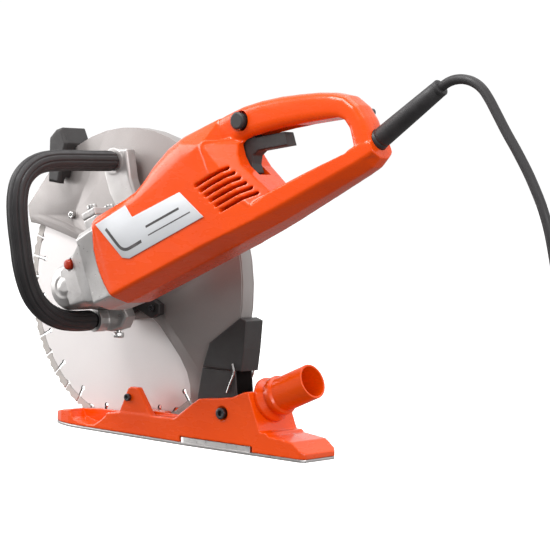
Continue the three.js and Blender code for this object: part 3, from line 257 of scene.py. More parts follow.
def ground_steel(name, color, roughness):
    """The blade's core: ring-shaped grinding marks round the spindle."""
    material, tree, principled = shader(name, color, roughness, metallic=0.6)
    place = tree.nodes.new("ShaderNodeTexCoord")
    offset = tree.nodes.new("ShaderNodeVectorMath")
    offset.operation = "SUBTRACT"
    offset.inputs[1].default_value = AXIS
    tree.links.new(place.outputs["Object"], offset.inputs[0])
    length = tree.nodes.new("ShaderNodeVectorMath")
    length.operation = "LENGTH"
    tree.links.new(offset.outputs["Vector"], length.inputs[0])
    rings = tree.nodes.new("ShaderNodeTexNoise")
    rings.noise_dimensions = "1D"
    rings.inputs["Scale"].default_value = 1500
    tree.links.new(length.outputs["Value"], rings.inputs["W"])
    tree.links.new(remap(tree, rings.outputs["Fac"], roughness * 0.8, roughness * 1.3),
                   principled.inputs["Roughness"])
    stain = remap(tree, noise_node(tree, 18, 5).outputs["Fac"], 0.0, 0.25)
    darker = tuple(channel * 0.86 for channel in color)
    tree.links.new(mixed(tree, stain, color, darker), principled.inputs["Base Color"])
    bump(tree, principled, rings.outputs["Fac"], 0.000002)
    return material


MATERIALS = {
    "orange_shell": gloss_plastic("orange_gloss", (0.86, 0.078, 0.0), (0.78, 0.062, 0.0)),
    "cast_metal": cast_metal("cast_aluminium", (0.60, 0.58, 0.57), (0.46, 0.44, 0.43)),
    "guard_metal": painted_metal("guard_paint", (0.27, 0.245, 0.236), (0.36, 0.33, 0.32)),
    "dark_plastic": textured_plastic("charcoal_plastic", (0.026, 0.023, 0.023), (0.11, 0.10, 0.10)),
    "black_rubber": soft_rubber("black_rubber", (0.020, 0.018, 0.019)),
    "blade_steel": ground_steel("ground_blade_steel", (0.80, 0.76, 0.75), 0.44),
    "bright_steel": steel("bright_steel", (0.62, 0.61, 0.60)),
    # Also paints the walls of the blade core's slots dark, as painted shade.
    "dark_steel": steel("blackened_steel", (0.09, 0.09, 0.095), 0.38),
    "sole_metal": steel("sole_steel", (0.56, 0.54, 0.53), 0.34, 220),
    "red_button": gloss_plastic("red_gloss", (0.52, 0.035, 0.006), (0.42, 0.02, 0.004)),
    "copper": steel("copper", (0.72, 0.34, 0.18), 0.3),
    "label_plate": painted_metal("label_film", (0.62, 0.63, 0.65), (0.68, 0.69, 0.71)),
    "carbon": textured_plastic("carbon", (0.02, 0.02, 0.02), (0.05, 0.05, 0.05), 0.7),
    "circuit_board": gloss_plastic("circuit_board", (0.02, 0.10, 0.05), (0.01, 0.07, 0.03)),
}


def paint_cad_nodes():
    for part in frame["record"]["subparts"]:
        node = frame["nodes"][part["node"]]
        node.data.materials.clear()
        node.data.materials.append(MATERIALS[part["material_slot"]])


SLOT_OF = {part["node"]: part["material_slot"] for part in frame["record"]["subparts"]}


# ---- Mesh tools ----
def settle(mesh, crease=35):
    """Smooth shading, but for edges sharper than crease degrees."""
    for polygon in mesh.polygons:
        polygon.use_smooth = True
    mesh.set_sharp_from_angle(angle=math.radians(crease))


def piece(name, mesh, body, slot, replaced=(), crease=35):
    """A finished mesh as an object of the model, on a body, in place of the named CAD nodes."""
    obj = bpy.data.objects.new(name, mesh)
    bpy.context.scene.collection.objects.link(obj)
    settle(mesh, crease)
    mesh.materials.clear()
    mesh.materials.append(MATERIALS[slot])
    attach(obj, body)
    if replaced:
        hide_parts(*replaced)
    return obj


def with_modifiers(mesh, *settings):
    """The mesh as it is after these modifiers, each (type, {setting: value})."""
    obj = bpy.data.objects.new("work", mesh)
    bpy.context.scene.collection.objects.link(obj)
    for kind, values in settings:
        modifier = obj.modifiers.new(kind, kind)
        for key, value in values.items():
            setattr(modifier, key, value)
    bpy.context.view_layer.update()
    result = bpy.data.meshes.new_from_object(obj.evaluated_get(bpy.context.evaluated_depsgraph_get()))
    bpy.data.objects.remove(obj)
    return result


def copied(node):
    return frame["nodes"][node].data.copy()


def body_of(node):
    return frame["nodes"][node]["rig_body"]


def moulded(node, voxel, passes, place=None, crease=180):
    """A CAD node with every edge rounded, as a mould or a casting leaves it. place turns its flats level
    with the cells that it is rebuilt in."""
    mesh = copied(node)
    place = place or Matrix.Identity(4)
    mesh.transform(place.inverted())
    rounded = with_modifiers(
        mesh,
        ("REMESH", {"mode": "VOXEL", "voxel_size": voxel, "use_smooth_shade": True}),
        ("SMOOTH", {"factor": 0.5, "iterations": passes}),
    )
    rounded.transform(place)
    return piece(node + "_moulded", rounded, body_of(node), SLOT_OF[node], [node], crease)


def edged(node, width=0.0005, segments=2, crease=35):
    """A CAD node with small round edges."""
    work = bmesh.new()
    work.from_mesh(frame["nodes"][node].data)
    bmesh.ops.remove_doubles(work, verts=work.verts, dist=2e-6)
    bmesh.ops.dissolve_limit(work, angle_limit=math.radians(0.6), verts=work.verts, edges=work.edges)
    sharp = [edge for edge in work.edges
             if len(edge.link_faces) == 2 and edge.calc_face_angle() > math.radians(28)]
    bmesh.ops.bevel(work, geom=sharp, offset=width, segments=segments, profile=0.5, affect="EDGES",
                    clamp_overlap=True)
    mesh = bpy.data.meshes.new(node)
    work.to_mesh(mesh)
    work.free()
    return piece(node + "_edged", mesh, body_of(node), SLOT_OF[node], [node], crease)


def mesh_of(name, points, faces):
    mesh = bpy.data.meshes.new(name)
    mesh.from_pydata([tuple(point) for point in points], [], faces)
    return mesh


def swept(sections, closed_ends=True):
    """The mesh through rings of equally many points."""
    count = len(sections[0])
    faces = []
    for k in range(len(sections) - 1):
        for i in range(count):
            j = (i + 1) % count
            faces.append((k * count + i, k * count + j, (k + 1) * count + j, (k + 1) * count + i))
    if closed_ends:
        faces.append(tuple(reversed(range(count))))
        faces.append(tuple((len(sections) - 1) * count + i for i in range(count)))
    return mesh_of("swept", [point for section in sections for point in section], faces)


def facing_out(mesh):
    work = bmesh.new()
    work.from_mesh(mesh)
    bmesh.ops.recalc_face_normals(work, faces=work.faces)
    work.to_mesh(mesh)
    work.free()
    return mesh


def smooth_line(points, steps):
    """Catmull-Rom points through a list, with that many steps between neighbours."""
    ends = [2 * points[0] - points[1], *points, 2 * points[-1] - points[-2]]
    line = []
    for before, start, end, after in zip(ends, ends[1:], ends[2:], ends[3:]):
        for step in range(steps):
            t = step / steps
            line.append(0.5 * (2 * start + (end - before) * t
                               + (2 * before - 5 * start + 4 * end - after) * t * t
                               + (3 * start - before - 3 * end + after) * t ** 3))
    return [*line, points[-1]]


# ---- Cord, its coil and its plug ----
# From the strain relief's end to the coil, each point from the floor under the blade's centre.
CORD_ROUTE = [(0.5241, -0.099, 0.4097), (0.5333, -0.099, 0.4146), (0.5438, -0.099, 0.417),
              (0.5542, -0.099, 0.4165), (0.5642, -0.099, 0.4134), (0.573, -0.099, 0.4077),
              (0.580, -0.099, 0.400), (0.5915, -0.099, 0.3836), (0.602, -0.099, 0.368),
              (0.619, -0.099, 0.3445), (0.636, -0.099, 0.318), (0.652, -0.099, 0.286),
              (0.663, -0.099, 0.250), (0.671, -0.0995, 0.212), (0.677, -0.1005, 0.172),
              (0.680, -0.102, 0.132), (0.681, -0.1035, 0.092), (0.6825, -0.1045, 0.062),
              (0.688, -0.105, 0.041), (0.699, -0.105, 0.026), (0.715, -0.105, 0.0175),
              (0.7347, -0.105, 0.0154)]
COIL = {"x": 0.775, "y": -0.025, "inner": 0.040, "outer": 0.080, "turns": 4, "top": 0.0154, "low": 0.0056}
PLUG_HEIGHT = 0.0172
PLUG_START = 0.047  # past the coil's centre


def coil_points():
    """Down from the top layer's outside to its inside, and out again on the floor."""
    per_turn = 16
    span = COIL["outer"] - COIL["inner"]
    points = []
    for i in range((2 * COIL["turns"] + 1) * per_turn + 1):
        turn = i / per_turn
        inward = min(turn, COIL["turns"]) / COIL["turns"]
        outward = max(turn - COIL["turns"] - 1, 0) / COIL["turns"]
        radius = COIL["outer"] - span * inward + span * outward
        down = min(max(turn - COIL["turns"], 0), 1)
        height = COIL["top"] + (COIL["low"] - COIL["top"]) * down * down * (3 - 2 * down)
        angle = 2 * math.pi * turn - math.pi / 2
        points.append((COIL["x"] + radius * math.cos(angle), COIL["y"] + radius * math.sin(angle), height))
    return points


def make_cord():
    side = COIL["y"] - COIL["outer"]
    rise = PLUG_HEIGHT - COIL["low"]
    lead = [(COIL["x"] + PLUG_START * part, side, COIL["low"] + rise * part * part * (3 - 2 * part))
            for part in (0.3, 0.6, 0.85, 1.0)]
    points = [from_floor(point) for point in [*CORD_ROUTE, *coil_points(), *lead]]
    curve = bpy.data.curves.new("power_cord", "CURVE")
    curve.dimensions = "3D"
    curve.bevel_depth = CORD_DIAMETER / 2
    curve.bevel_resolution = 5
    curve.resolution_u = 5
    curve.use_fill_caps = True
    spline = curve.splines.new("BEZIER")
    spline.bezier_points.add(len(points) - 1)
    for knot, point in zip(spline.bezier_points, points):
        knot.co = point
        knot.handle_left_type = knot.handle_right_type = "AUTO"
    cord = bpy.data.objects.new("power_cord_flex", curve)
    bpy.context.scene.collection.objects.link(cord)
    curve.materials.append(MATERIALS["black_rubber"])
    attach(cord, body_of("power_cord"))
    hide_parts("power_cord", "cord_coil")
    plug = edged("power_plug", 0.0012, 3)
    relief = make_strain_relief()


STRAIN = {"tilt": math.radians(10.9), "start": 0.481, "height": -0.023, "length": 0.094}


def turned(profile, place, sides=48):
    """A turned mesh whose profile is (distance along local X, radius), closed at both ends."""
    rings = [[place @ Vector((x, radius * math.cos(2 * math.pi * i / sides),
                              radius * math.sin(2 * math.pi * i / sides))) for i in range(sides)]
             for x, radius in profile]
    return facing_out(swept(rings))


def make_strain_relief():
    """A tapered rubber sleeve with a gland ring at the handle and a collar at its end."""
    place = (MOTOR @ Matrix.Translation((STRAIN["start"], -MOTOR_OFFSET, STRAIN["height"]))
             @ Matrix.Rotation(-STRAIN["tilt"], 4, "Y"))
    end = STRAIN["length"]
    gland = [(-0.011, 0.0104), (0.001, 0.0108), (0.0035, 0.0108), (0.0042, 0.0101), (0.0052, 0.0101)]
    sleeve = [(0.006, 0.0106), (0.008, 0.0107), (0.05, 0.0099), (end - 0.006, 0.0090)]
    collar = [(end - 0.0055, 0.0086), (end - 0.0045, 0.0086), (end - 0.004, 0.0090), (end - 0.0008, 0.0090),
              (end, 0.0084), (end + 0.0001, 0.0055)]
    mesh = turned(gland + sleeve + collar, place, 64)
    return piece("strain_relief_sleeve", mesh, body_of("strain_relief"), "black_rubber", ["strain_relief"],
                 50)


# ---- Blade ----
SEGMENTS = 42
SEGMENT_GAP = 0.0026
SEGMENT_HALF_THICKNESS = 0.00145
CORE_RADIUS = BLADE_RADIUS - 0.010
CORE_HALF_THICKNESS = 0.0012
CORE_BEVEL = 0.0005
BORE_RADIUS = 0.0127
SLOT_END = BLADE_RADIUS - 0.022
SLOT_HALF_WIDTH = 0.0014
SLOT_HOLE = 0.0027  # radius of the round hole at a slot's inner end
CORE_NOTCH = 0.003  # depth of the small dip halfway between slots
SEGMENT_STEPS = (0.0024, 0.0011)  # depths of the two low steps
SEGMENT_SEAM = 0.0002
SHADE_AND_SEAM_FROM = 0.05  # the walls of the rim and its slots lie farther out than this; they are painted dark, as painted shade inside the slots and as a dark seam at the rim


def ring_point(radius, angle, y=0.0):
    return AXIS + Vector((radius * math.cos(angle), y, radius * math.sin(angle)))


def core_outline():
    """The core's rim with a slot and a round end between every second pair of segments."""
    points = []
    pitch = 4 * math.pi / SEGMENTS
    for i in range(SEGMENTS // 2):
        middle = i * pitch
        centre = Vector((SLOT_END * math.cos(middle), SLOT_END * math.sin(middle)))
        out = Vector((math.cos(middle), math.sin(middle)))
        side = Vector((-out.y, out.x))
        points.append(CORE_RADIUS * out - side * SLOT_HALF_WIDTH)
        opening = math.asin(SLOT_HALF_WIDTH / SLOT_HOLE)
        for step in range(13):
            turn = opening + (2 * math.pi - 2 * opening) * step / 12
            points.append(centre + SLOT_HOLE * (math.cos(turn) * out - math.sin(turn) * side))
        points.append(CORE_RADIUS * out + side * SLOT_HALF_WIDTH)
        for step in range(1, 8):
            angle = middle + pitch * step / 8
            radius = CORE_RADIUS - (CORE_NOTCH if step == 4 else 0)
            points.append(radius * Vector((math.cos(angle), math.sin(angle))))
    return points


def plate(outline, hole, y0, y1, bevel):
    """A flat plate in the blade's plane, with a round hole and small bevels."""
    work = bmesh.new()
    loops = [outline, [Vector((hole * math.cos(2 * math.pi * i / 64), hole * math.sin(2 * math.pi * i / 64)))
                       for i in range(64)]]
    edges = []
    for loop in loops:
        verts = [work.verts.new(AXIS + Vector((point.x, y0, point.y))) for point in loop]
        edges += [work.edges.new((a, b)) for a, b in zip(verts, verts[1:] + verts[:1])]
    bmesh.ops.triangle_fill(work, use_beauty=True, edges=edges)
    raised = bmesh.ops.extrude_face_region(work, geom=list(work.faces))
    tops = [item for item in raised["geom"] if isinstance(item, bmesh.types.BMVert)]
    bmesh.ops.translate(work, verts=tops, vec=(0, y1 - y0, 0))
    bmesh.ops.recalc_face_normals(work, faces=work.faces)
    bmesh.ops.dissolve_limit(work, angle_limit=0.01, verts=work.verts, edges=work.edges)
    rim = [edge for edge in work.edges if len(edge.link_faces) == 2 and edge.calc_face_angle() > 1.2
           and abs(edge.verts[0].co.y - edge.verts[1].co.y) < 1e-6]
    bmesh.ops.bevel(work, geom=rim, offset=bevel, segments=2, profile=0.5, affect="EDGES")
    mesh = bpy.data.meshes.new("plate")
    work.to_mesh(mesh)
    work.free()
    return mesh


def make_blade_core():
    """The steel core, its two faces shaded flat. The walls of its slots are painted dark as painted shade,
    and the walls of its rim are dark as a seam next to the segments.
    """
    core = plate(core_outline(), BORE_RADIUS, -CORE_HALF_THICKNESS, CORE_HALF_THICKNESS, CORE_BEVEL)
    blade = piece("blade_core", core, "spindle", "blade_steel", ["diamond_blade"], 30)
    blade.data.materials.append(MATERIALS["dark_steel"])
    for polygon in blade.data.polygons:
        polygon.use_smooth = abs(polygon.normal.y) < 0.999
        radius = ((polygon.center.x - AXIS.x) ** 2 + (polygon.center.z - AXIS.z) ** 2) ** 0.5
        # The core's outer walls get blackened steel: painted shade inside the slots, and a dark seam at the
        # rim.
        if abs(polygon.normal.y) < 0.97 and radius > SHADE_AND_SEAM_FROM:
            polygon.material_index = 1


def make_blade_segments():
    """The diamond segments round the rim, each with two low steps in its outer edge."""
    points, faces = [], []
    pitch = 2 * math.pi / SEGMENTS
    gap = SEGMENT_GAP / BLADE_RADIUS
    for i in range(SEGMENTS):
        start = i * pitch + gap / 2
        length = pitch - gap
        profile = []
        for step in range(9):
            low = SEGMENT_STEPS[0] if step in (2, 3) else SEGMENT_STEPS[1] if step in (6, 7) else 0.0
            profile.append((BLADE_RADIUS - SEGMENT_SEAM - low, start + length * step / 8))
        profile += [(CORE_RADIUS + SEGMENT_SEAM, start + length), (CORE_RADIUS + SEGMENT_SEAM, start)]
        first = len(points)
        for y in (-SEGMENT_HALF_THICKNESS, SEGMENT_HALF_THICKNESS):
            points += [ring_point(radius, angle, y) for radius, angle in profile]
        count = len(profile)
        faces.append(tuple(first + k for k in range(count)))
        faces.append(tuple(first + count + k for k in reversed(range(count))))
        for k in range(count):
            other = (k + 1) % count
            faces.append((first + k, first + count + k, first + count + other, first + other))
    segments = facing_out(mesh_of("segments", points, faces))
    rims = piece("blade_segments", segments, "spindle", "blade_steel", (), 30)
    rims.data.materials[0] = DIAMOND


def diamond_grit():
    """Sintered metal with diamond grit: rough, matt and pale."""
    material, tree, principled = shader("diamond_segment", (0.50, 0.47, 0.44), 0.6, metallic=0.3)
    grit = noise_node(tree, 2600, 3)
    grains = remap(tree, grit.outputs["Fac"], 0.0, 1.0)
    tint = mixed(tree, grains, (0.36, 0.33, 0.31), (0.62, 0.58, 0.55))
    tree.links.new(tint, principled.inputs["Base Color"])
    bump(tree, principled, grit.outputs["Fac"], 0.00025)
    return material


DIAMOND = diamond_grit()

# ---- Motor body and rear handle ----
BODY = MOTOR @ Matrix.Translation((0, -MOTOR_OFFSET, 0)) @ Matrix.Scale(0.001, 4)  # mm from the motor's axis
# Distance along the motor, half width, height where the side turns in, top, crease and keel heights.
BARREL = [(95.0, 39, 33, 49, -46, -56), (101, 39.8, 34, 51, -46, -57), (150, 40, 34, 52, -46, -57),
          (168, 40, 34, 54, -46, -57), (182, 40, 35, 60, -46, -57), (203, 40, 37, 71.5, -46, -57),
          (228, 40, 41, 80, -46, -57), (252, 40, 46, 82.7, -46, -57)]
# Points of the shoulder where the barrel narrows: distance along, half width, height.
SHOULDER = [(272, 39.8, 53.5), (284, 39, 56), (272, 36, 62), (276, 29, 70), (283, 21, 76), (296, 17, 77),
            (300, 13, 81), (296, 17, 62), (284, 39, -46), (284, 16, -57), (284, 0, -57), (300, 0, 82.5)]
# Lower beam of the handle: distance along, half width, top, crease and keel heights.
BEAM = [(280, 39, -30, -46, -57), (322, 35, -29, -45.5, -56.5), (345, 31, -24.5, -44.5, -56),
        (410, 24, -23, -41, -52.5), (455, 19, -21.5, -38.5, -50), (470, 17.5, -21, -37, -48.5),
        (482, 16.8, -24, -36, -43)]
# The body's curved front end, as (distance along, height).
FRONT_ARC = [(96, 33.5), (92.5, 26), (89, 12), (87.6, -3), (88, -16), (90, -30), (94, -44), (110, -44),
             (110, 33.5)]
# Where the flat side panel ends and where it has sloped in to the handle: distance along, height, half width.
PANEL_EDGE = [(270, 50, 39.8), (285, 57, 39), (286, 22, 39.5), (292, 6, 38.5), (322, -30, 35), (322, -46, 35),
              (286, -46, 38.5)]
PANEL_INNER = [(312, 53, 14), (326, 40, 12), (326, 10, 13), (347, -25, 17), (347, -46, 20)]
# The grip's centre line, its height across that line, and its half width.
GRIP = [((258, 52), 50, 17), ((285, 62), 41, 17.3), ((308, 63.7), 37, 17.5), ((332, 62.5), 36.5, 17.5),
        ((356, 58.3), 35.8, 17.5), ((382, 52), 34.5, 17.4), ((405, 45), 33, 17.2), ((428, 37.2), 31.5, 17),
        ((446, 30), 29.5, 16.8), ((459, 22.5), 27.5, 16.6), ((467, 12), 24.5, 16.5), ((470.5, 0), 23, 16.5),
        ((470.5, -13), 25.5, 16.6), ((469.5, -27), 27, 16.8), ((468, -38), 27, 16.6)]
# The opening in the handle, as (distance along, height).
WINDOW = [(343, -23), (325, 8), (319, 18), (317, 30), (318, 44), (336, 45), (372, 36), (402, 30), (440, 19),
          (452, 15), (459, 9), (461, 0), (459, -12), (456, -21), (450, -24)]
VENT_START = (262, 17.5)
VENT_STEP = (4.7, -7.6)
VENTS = 6
VENT_LENGTH = 45
VENT_SLOPE = 0.045
VENT_WIDTH = 3.6
# A round bead along the panel's edge: distance along, height, half width.
BEAD = [(313, 51, 14.5), (300, 54, 26), (286, 57, 37.6), (285.5, 40, 38.6), (287, 22, 38.6), (293, 6, 37.9),
        (307, -12, 36.3), (322, -29.5, 34)]
BEAD_RADIUS = 1.7
BODY_VOXEL = 1.1
BODY_FINE_VOXEL = 0.95
HALVES_GAP = 0.12  # from the middle plane to each half of the housing


def bead_mesh(points, radius):
    """A round bead through points, closed at both ends."""
    line = smooth_line([Vector(point) for point in points], 4)
    turns = [math.pi * k / 4 for k in range(8)]
    rings = []
    for i, point in enumerate(line):
        ahead = (line[min(i + 1, len(line) - 1)] - line[max(i - 1, 0)]).normalized()
        across = ahead.cross(Vector((0, 1, 0.3))).normalized()
        other = ahead.cross(across)
        rings.append([point + radius * (math.cos(turn) * across + math.sin(turn) * other) for turn in turns])
    return facing_out(swept(rings))


def hull_mesh(points):
    work = bmesh.new()
    for point in points:
        work.verts.new(point)
    bmesh.ops.convex_hull(work, input=work.verts)
    mesh = bpy.data.meshes.new("hull")
    work.to_mesh(mesh)
    work.free()
    return mesh


def prism_mesh(outline, y0, y1):
    """A closed prism along Y over an outline of (x, z) points."""
    return facing_out(swept([[Vector((x, y, z)) for x, z in outline] for y in (y0, y1)]))


def joined(meshes):
    work = bmesh.new()
    for mesh in meshes:
        work.from_mesh(mesh)
    result = bpy.data.meshes.new("joined")
    work.to_mesh(result)
    work.free()
    return result


def merged(meshes, voxel, passes=0):
    """Overlapping closed meshes as one skin, its edges rounded by that many smoothing passes."""
    return with_modifiers(
        joined(meshes), ("REMESH", {"mode": "VOXEL", "voxel_size": voxel}),
        ("SMOOTH", {"factor": 0.5, "iterations": passes}))


def carved(mesh, cutters, operation="DIFFERENCE"):
    """The mesh less (or kept within) each of the closed cutters."""
    for cutter in cutters:
        tool = bpy.data.objects.new("tool", cutter)
        bpy.context.scene.collection.objects.link(tool)
        cut = {"operation": operation, "object": tool, "solver": "MANIFOLD"}
        mesh = with_modifiers(mesh, ("BOOLEAN", cut))
        bpy.data.objects.remove(tool)
    return mesh


def barrel_section(s, w, turn_in, top, crease, keel):
    """A ring round the barrel: keel, creases, flat sides, and shoulders that curve in to the top."""
    right = [(0, keel), (0.42 * w, keel + 0.4), (w - 2.2, crease - 1.6), (w, crease + 1.2)]
    for step in range(11):
        angle = math.pi / 2 * step / 10
        right.append((w * math.cos(angle) ** 0.62, turn_in + (top - turn_in) * math.sin(angle) ** 0.95))
    left = [(-y, n) for y, n in right[1:-1]][::-1]
    return [Vector((s, y, n)) for y, n in right + left]


def beam_section(s, w, top, crease, keel):
    right = [(0, keel), (0.42 * w, keel + 0.4), (w - 1.6, crease - 1.4), (w, crease + 1.2), (w, top - 2),
             (w - 2, top)]
    left = [(-y, n) for y, n in right[1:]][::-1]
    return [Vector((s, y, n)) for y, n in right + left]


def grip_sections():
    rings = []
    for i, ((s, n), height, half) in enumerate(GRIP):
        before = Vector(GRIP[max(i - 1, 0)][0])
        after = Vector(GRIP[min(i + 1, len(GRIP) - 1)][0])
        ahead = (after - before).normalized()
        across = Vector((-ahead.y, ahead.x))
        ring = []
        for step in range(32):
            angle = 2 * math.pi * step / 32
            c, v = math.cos(angle), math.sin(angle)
            y = half * math.copysign(abs(c) ** 0.62, c)
            rise = height / 2 * math.copysign(abs(v) ** 0.62, v)
            ring.append(Vector((s + across.x * rise, y, n + across.y * rise)))
        rings.append(ring)
    return rings


def slot_outline(start, length, slope, width):
    """A slot with round ends."""
    (s, n), radius = start, width / 2
    tilt = math.atan(slope)
    points = []
    for centre, first in ((Vector((s + length, n + length * slope)), -90), (Vector((s, n)), 90)):
        for step in range(7):
            angle = math.radians(first + 30 * step) + tilt
            points.append((centre.x + radius * math.cos(angle), centre.y + radius * math.sin(angle)))
    return points


def box_mesh(s0, s1, y0, y1, n0, n1):
    return prism_mesh([(s0, n0), (s1, n0), (s1, n1), (s0, n1)], y0, y1)


DOME = {"s": 6, "y": 8, "n": -1, "length": 33, "depth": 23.5, "height": 26.6}
BUTTON_SEAT = {"s": 26, "n": 18, "radius": 8.2}


def dome_mesh():
    """The egg-shaped end of the gear case, over the spindle."""
    egg = []
    for i in range(1, 12):
        across = math.pi * i / 12
        ring = []
        for k in range(32):
            turn = math.pi * k / 16
            ring.append(Vector((DOME["s"] + DOME["length"] * math.sin(across) * math.cos(turn),
                                DOME["y"] - DOME["depth"] * math.cos(across),
                                DOME["n"] + DOME["height"] * math.sin(across) * math.sin(turn))))
        egg.append(ring)
    return carved(facing_out(swept(egg)), [box_mesh(-60, 80, -40, 6, -60, 60)], "INTERSECT")


def make_gear_housing():
    """The casting with a closed dome over the spindle's end, a seat for the spindle lock button and one
    for the body's front."""
    casting = copied("gear_housing")
    casting.transform(BODY.inverted())
    radius = BUTTON_SEAT["radius"]
    seat = [(BUTTON_SEAT["s"] + radius * math.cos(math.pi * k / 12),
             BUTTON_SEAT["n"] + radius * math.sin(math.pi * k / 12)) for k in range(24)]
    rounded = merged([casting, dome_mesh()], 0.9, 7)
    rounded = carved(rounded, [prism_mesh(seat, -40, -9.5), prism_mesh(FRONT_ARC, -39.2, 39.2)])
    rounded.transform(BODY)
    piece("gear_casting", rounded, "machine", "cast_metal", ["gear_housing"], 45)


def body_skin():
    """The outside of both housing halves as one skin, before the window and the vents are cut."""
    panel = hull_mesh([(s, side * y, n) for s, n, y in PANEL_EDGE + PANEL_INNER for side in (-1, 1)])
    last_ring = barrel_section(*BARREL[-1])
    shoulder = hull_mesh([*last_ring, *((s, side * y, n) for s, y, n in SHOULDER for side in (-1, 1))])
    solids = [shoulder, prism_mesh(FRONT_ARC, -38.8, 38.8),
              facing_out(swept([barrel_section(*station) for station in BARREL])),
              facing_out(swept([beam_section(*station) for station in BEAM])),
              facing_out(swept(grip_sections())), panel]
    for side in (-1, 1):
        solids.append(bead_mesh([(s, side * y, n) for s, n, y in BEAD], BEAD_RADIUS))
    return merged(solids, BODY_VOXEL)


def vent_cutters():
    vents = []
    for i in range(VENTS):
        start = (VENT_START[0] + i * VENT_STEP[0], VENT_START[1] + i * VENT_STEP[1])
        outline = slot_outline(start, VENT_LENGTH, VENT_SLOPE, VENT_WIDTH)
        vents += [prism_mesh(outline, -60, -11), prism_mesh(outline, 11, 60)]
    return vents


def rooms_inside():
    """The hollows for the motor, the trigger, the switch, the electronics, the cord clamp, the strain
    relief and the lock-off button."""
    relief = Matrix.Translation((481, 0, -23)) @ Matrix.Rotation(-STRAIN["tilt"], 4, "Y")
    motor = turned([(80, 36.6), (259, 36.6)], Matrix.Identity(4), 64)
    trigger = prism_mesh([(306, 4), (336, 4), (346, 22), (394, 8), (398, 42), (341, 60), (306, 62)],
                         -9.4, 9.4)
    switch = box_mesh(283.7, 307, -9.3, 9.3, 25.7, 58.3)
    electronics = box_mesh(351.7, 412.3, -10.3, 10.3, -45.3, -29.7)
    clamp = box_mesh(439.7, 452.3, -9.3, 9.3, -45.3, -38.2)
    sleeve = turned([(-18, 11.2), (20, 11.2)], relief)
    button = prism_mesh([(329.5 + 11.2 * math.cos(a / 24 * math.pi), 65 + 11.2 * math.sin(a / 24 * math.pi))
                         for a in range(48)], -30, -6)
    return [motor, trigger, switch, electronics, clamp, sleeve, button]


def make_motor_body():
    outer = carved(body_skin(), [prism_mesh(WINDOW, -60, 60), *vent_cutters()])
    outer = with_modifiers(outer, ("REMESH", {"mode": "VOXEL", "voxel_size": BODY_FINE_VOXEL}),
                           ("SMOOTH", {"factor": 0.5, "iterations": 5}))
    outer = carved(outer, rooms_inside())
    for name, y0, y1 in (("near", -70, -HALVES_GAP), ("far", HALVES_GAP, 70)):
        half = carved(outer.copy(), [box_mesh(60, 520, y0, y1, -100, 120)], "INTERSECT")
        half.transform(BODY)
        node = "motor_housing_" + name
        piece(node + "_shell", half, "machine", "orange_shell", [node], 45)


# ---- Front handle ----
HANDLE_RADIUS = 0.0122
# The grip's centre line from the upper bracket to the lower, each point from the blade's centre.
HANDLE_LOOP = [(-0.003, -0.035, 0.148), (-0.003, -0.071, 0.1474), (-0.003, -0.103, 0.147),
               (-0.003, -0.134, 0.1457), (-0.003, -0.153, 0.1418), (-0.003, -0.1665, 0.1347),
               (-0.003, -0.1766, 0.1243), (-0.003, -0.1815, 0.1117), (-0.003, -0.1829, 0.0947),
               (-0.003, -0.1805, 0.072), (-0.003, -0.176, 0.0492), (-0.003, -0.1713, 0.0264),
               (-0.003, -0.1628, 0.0033), (-0.003, -0.1515, -0.0142), (-0.003, -0.1339, -0.0286),
               (-0.003, -0.1116, -0.0376), (-0.003, -0.0876, -0.0408), (-0.003, -0.062, -0.0409)]


def ribbed_radius(turn, ribs=10, depth=0.0013):
    """The grip's radius at a share of the way round: broad ribs with narrow grooves between."""
    wave = 0.5 + 0.5 * math.cos(2 * math.pi * turn * ribs)
    return HANDLE_RADIUS - depth * wave ** 6


def make_grip():
    line = smooth_line([AXIS + Vector(point) for point in HANDLE_LOOP], 12)
    sides = 168
    end_scale = {0: 0.93, 1: 0.985}  # the first two rings at each end are drawn in
    sections = []
    for i, point in enumerate(line):
        ahead = (line[min(i + 1, len(line) - 1)] - line[max(i - 1, 0)]).normalized()
        across = Vector((1, 0, 0))
        upward = ahead.cross(across)
        from_end = min(i, len(line) - 1 - i)
        scale = end_scale.get(from_end, 1.0)
        sections.append([
            point + scale * ribbed_radius(k / sides) * (
                math.cos(2 * math.pi * k / sides) * across + math.sin(2 * math.pi * k / sides) * upward)
            for k in range(sides)])
    piece("grip_sleeve", facing_out(swept(sections)), "machine", "black_rubber", ["handle_grip"], 60)


# ---- Label and guard ridges ----
def bar(points, width, thickness, place, y):
    """A flat strip of even width along (x, z) points, its back at a given Y."""
    left, right = [], []
    for i, point in enumerate(points):
        before = points[max(i - 1, 0)]
        after = points[min(i + 1, len(points) - 1)]
        ahead = Vector((after[0] - before[0], after[1] - before[1])).normalized()
        across = Vector((-ahead.y, ahead.x)) * (width / 2)
        left.append((point[0] + across.x, point[1] + across.y))
        right.append((point[0] - across.x, point[1] - across.y))
    outline = left + right[::-1]
    count = len(outline)
    corners = [place @ Vector((x, y + shift, z)) for shift in (0, -thickness) for x, z in outline]
    faces = [tuple(range(count)), tuple(count + k for k in reversed(range(count)))]
    for k in range(count):
        other = (k + 1) % count
        faces.append((k, count + k, count + other, other))
    return facing_out(mesh_of("bar", corners, faces))


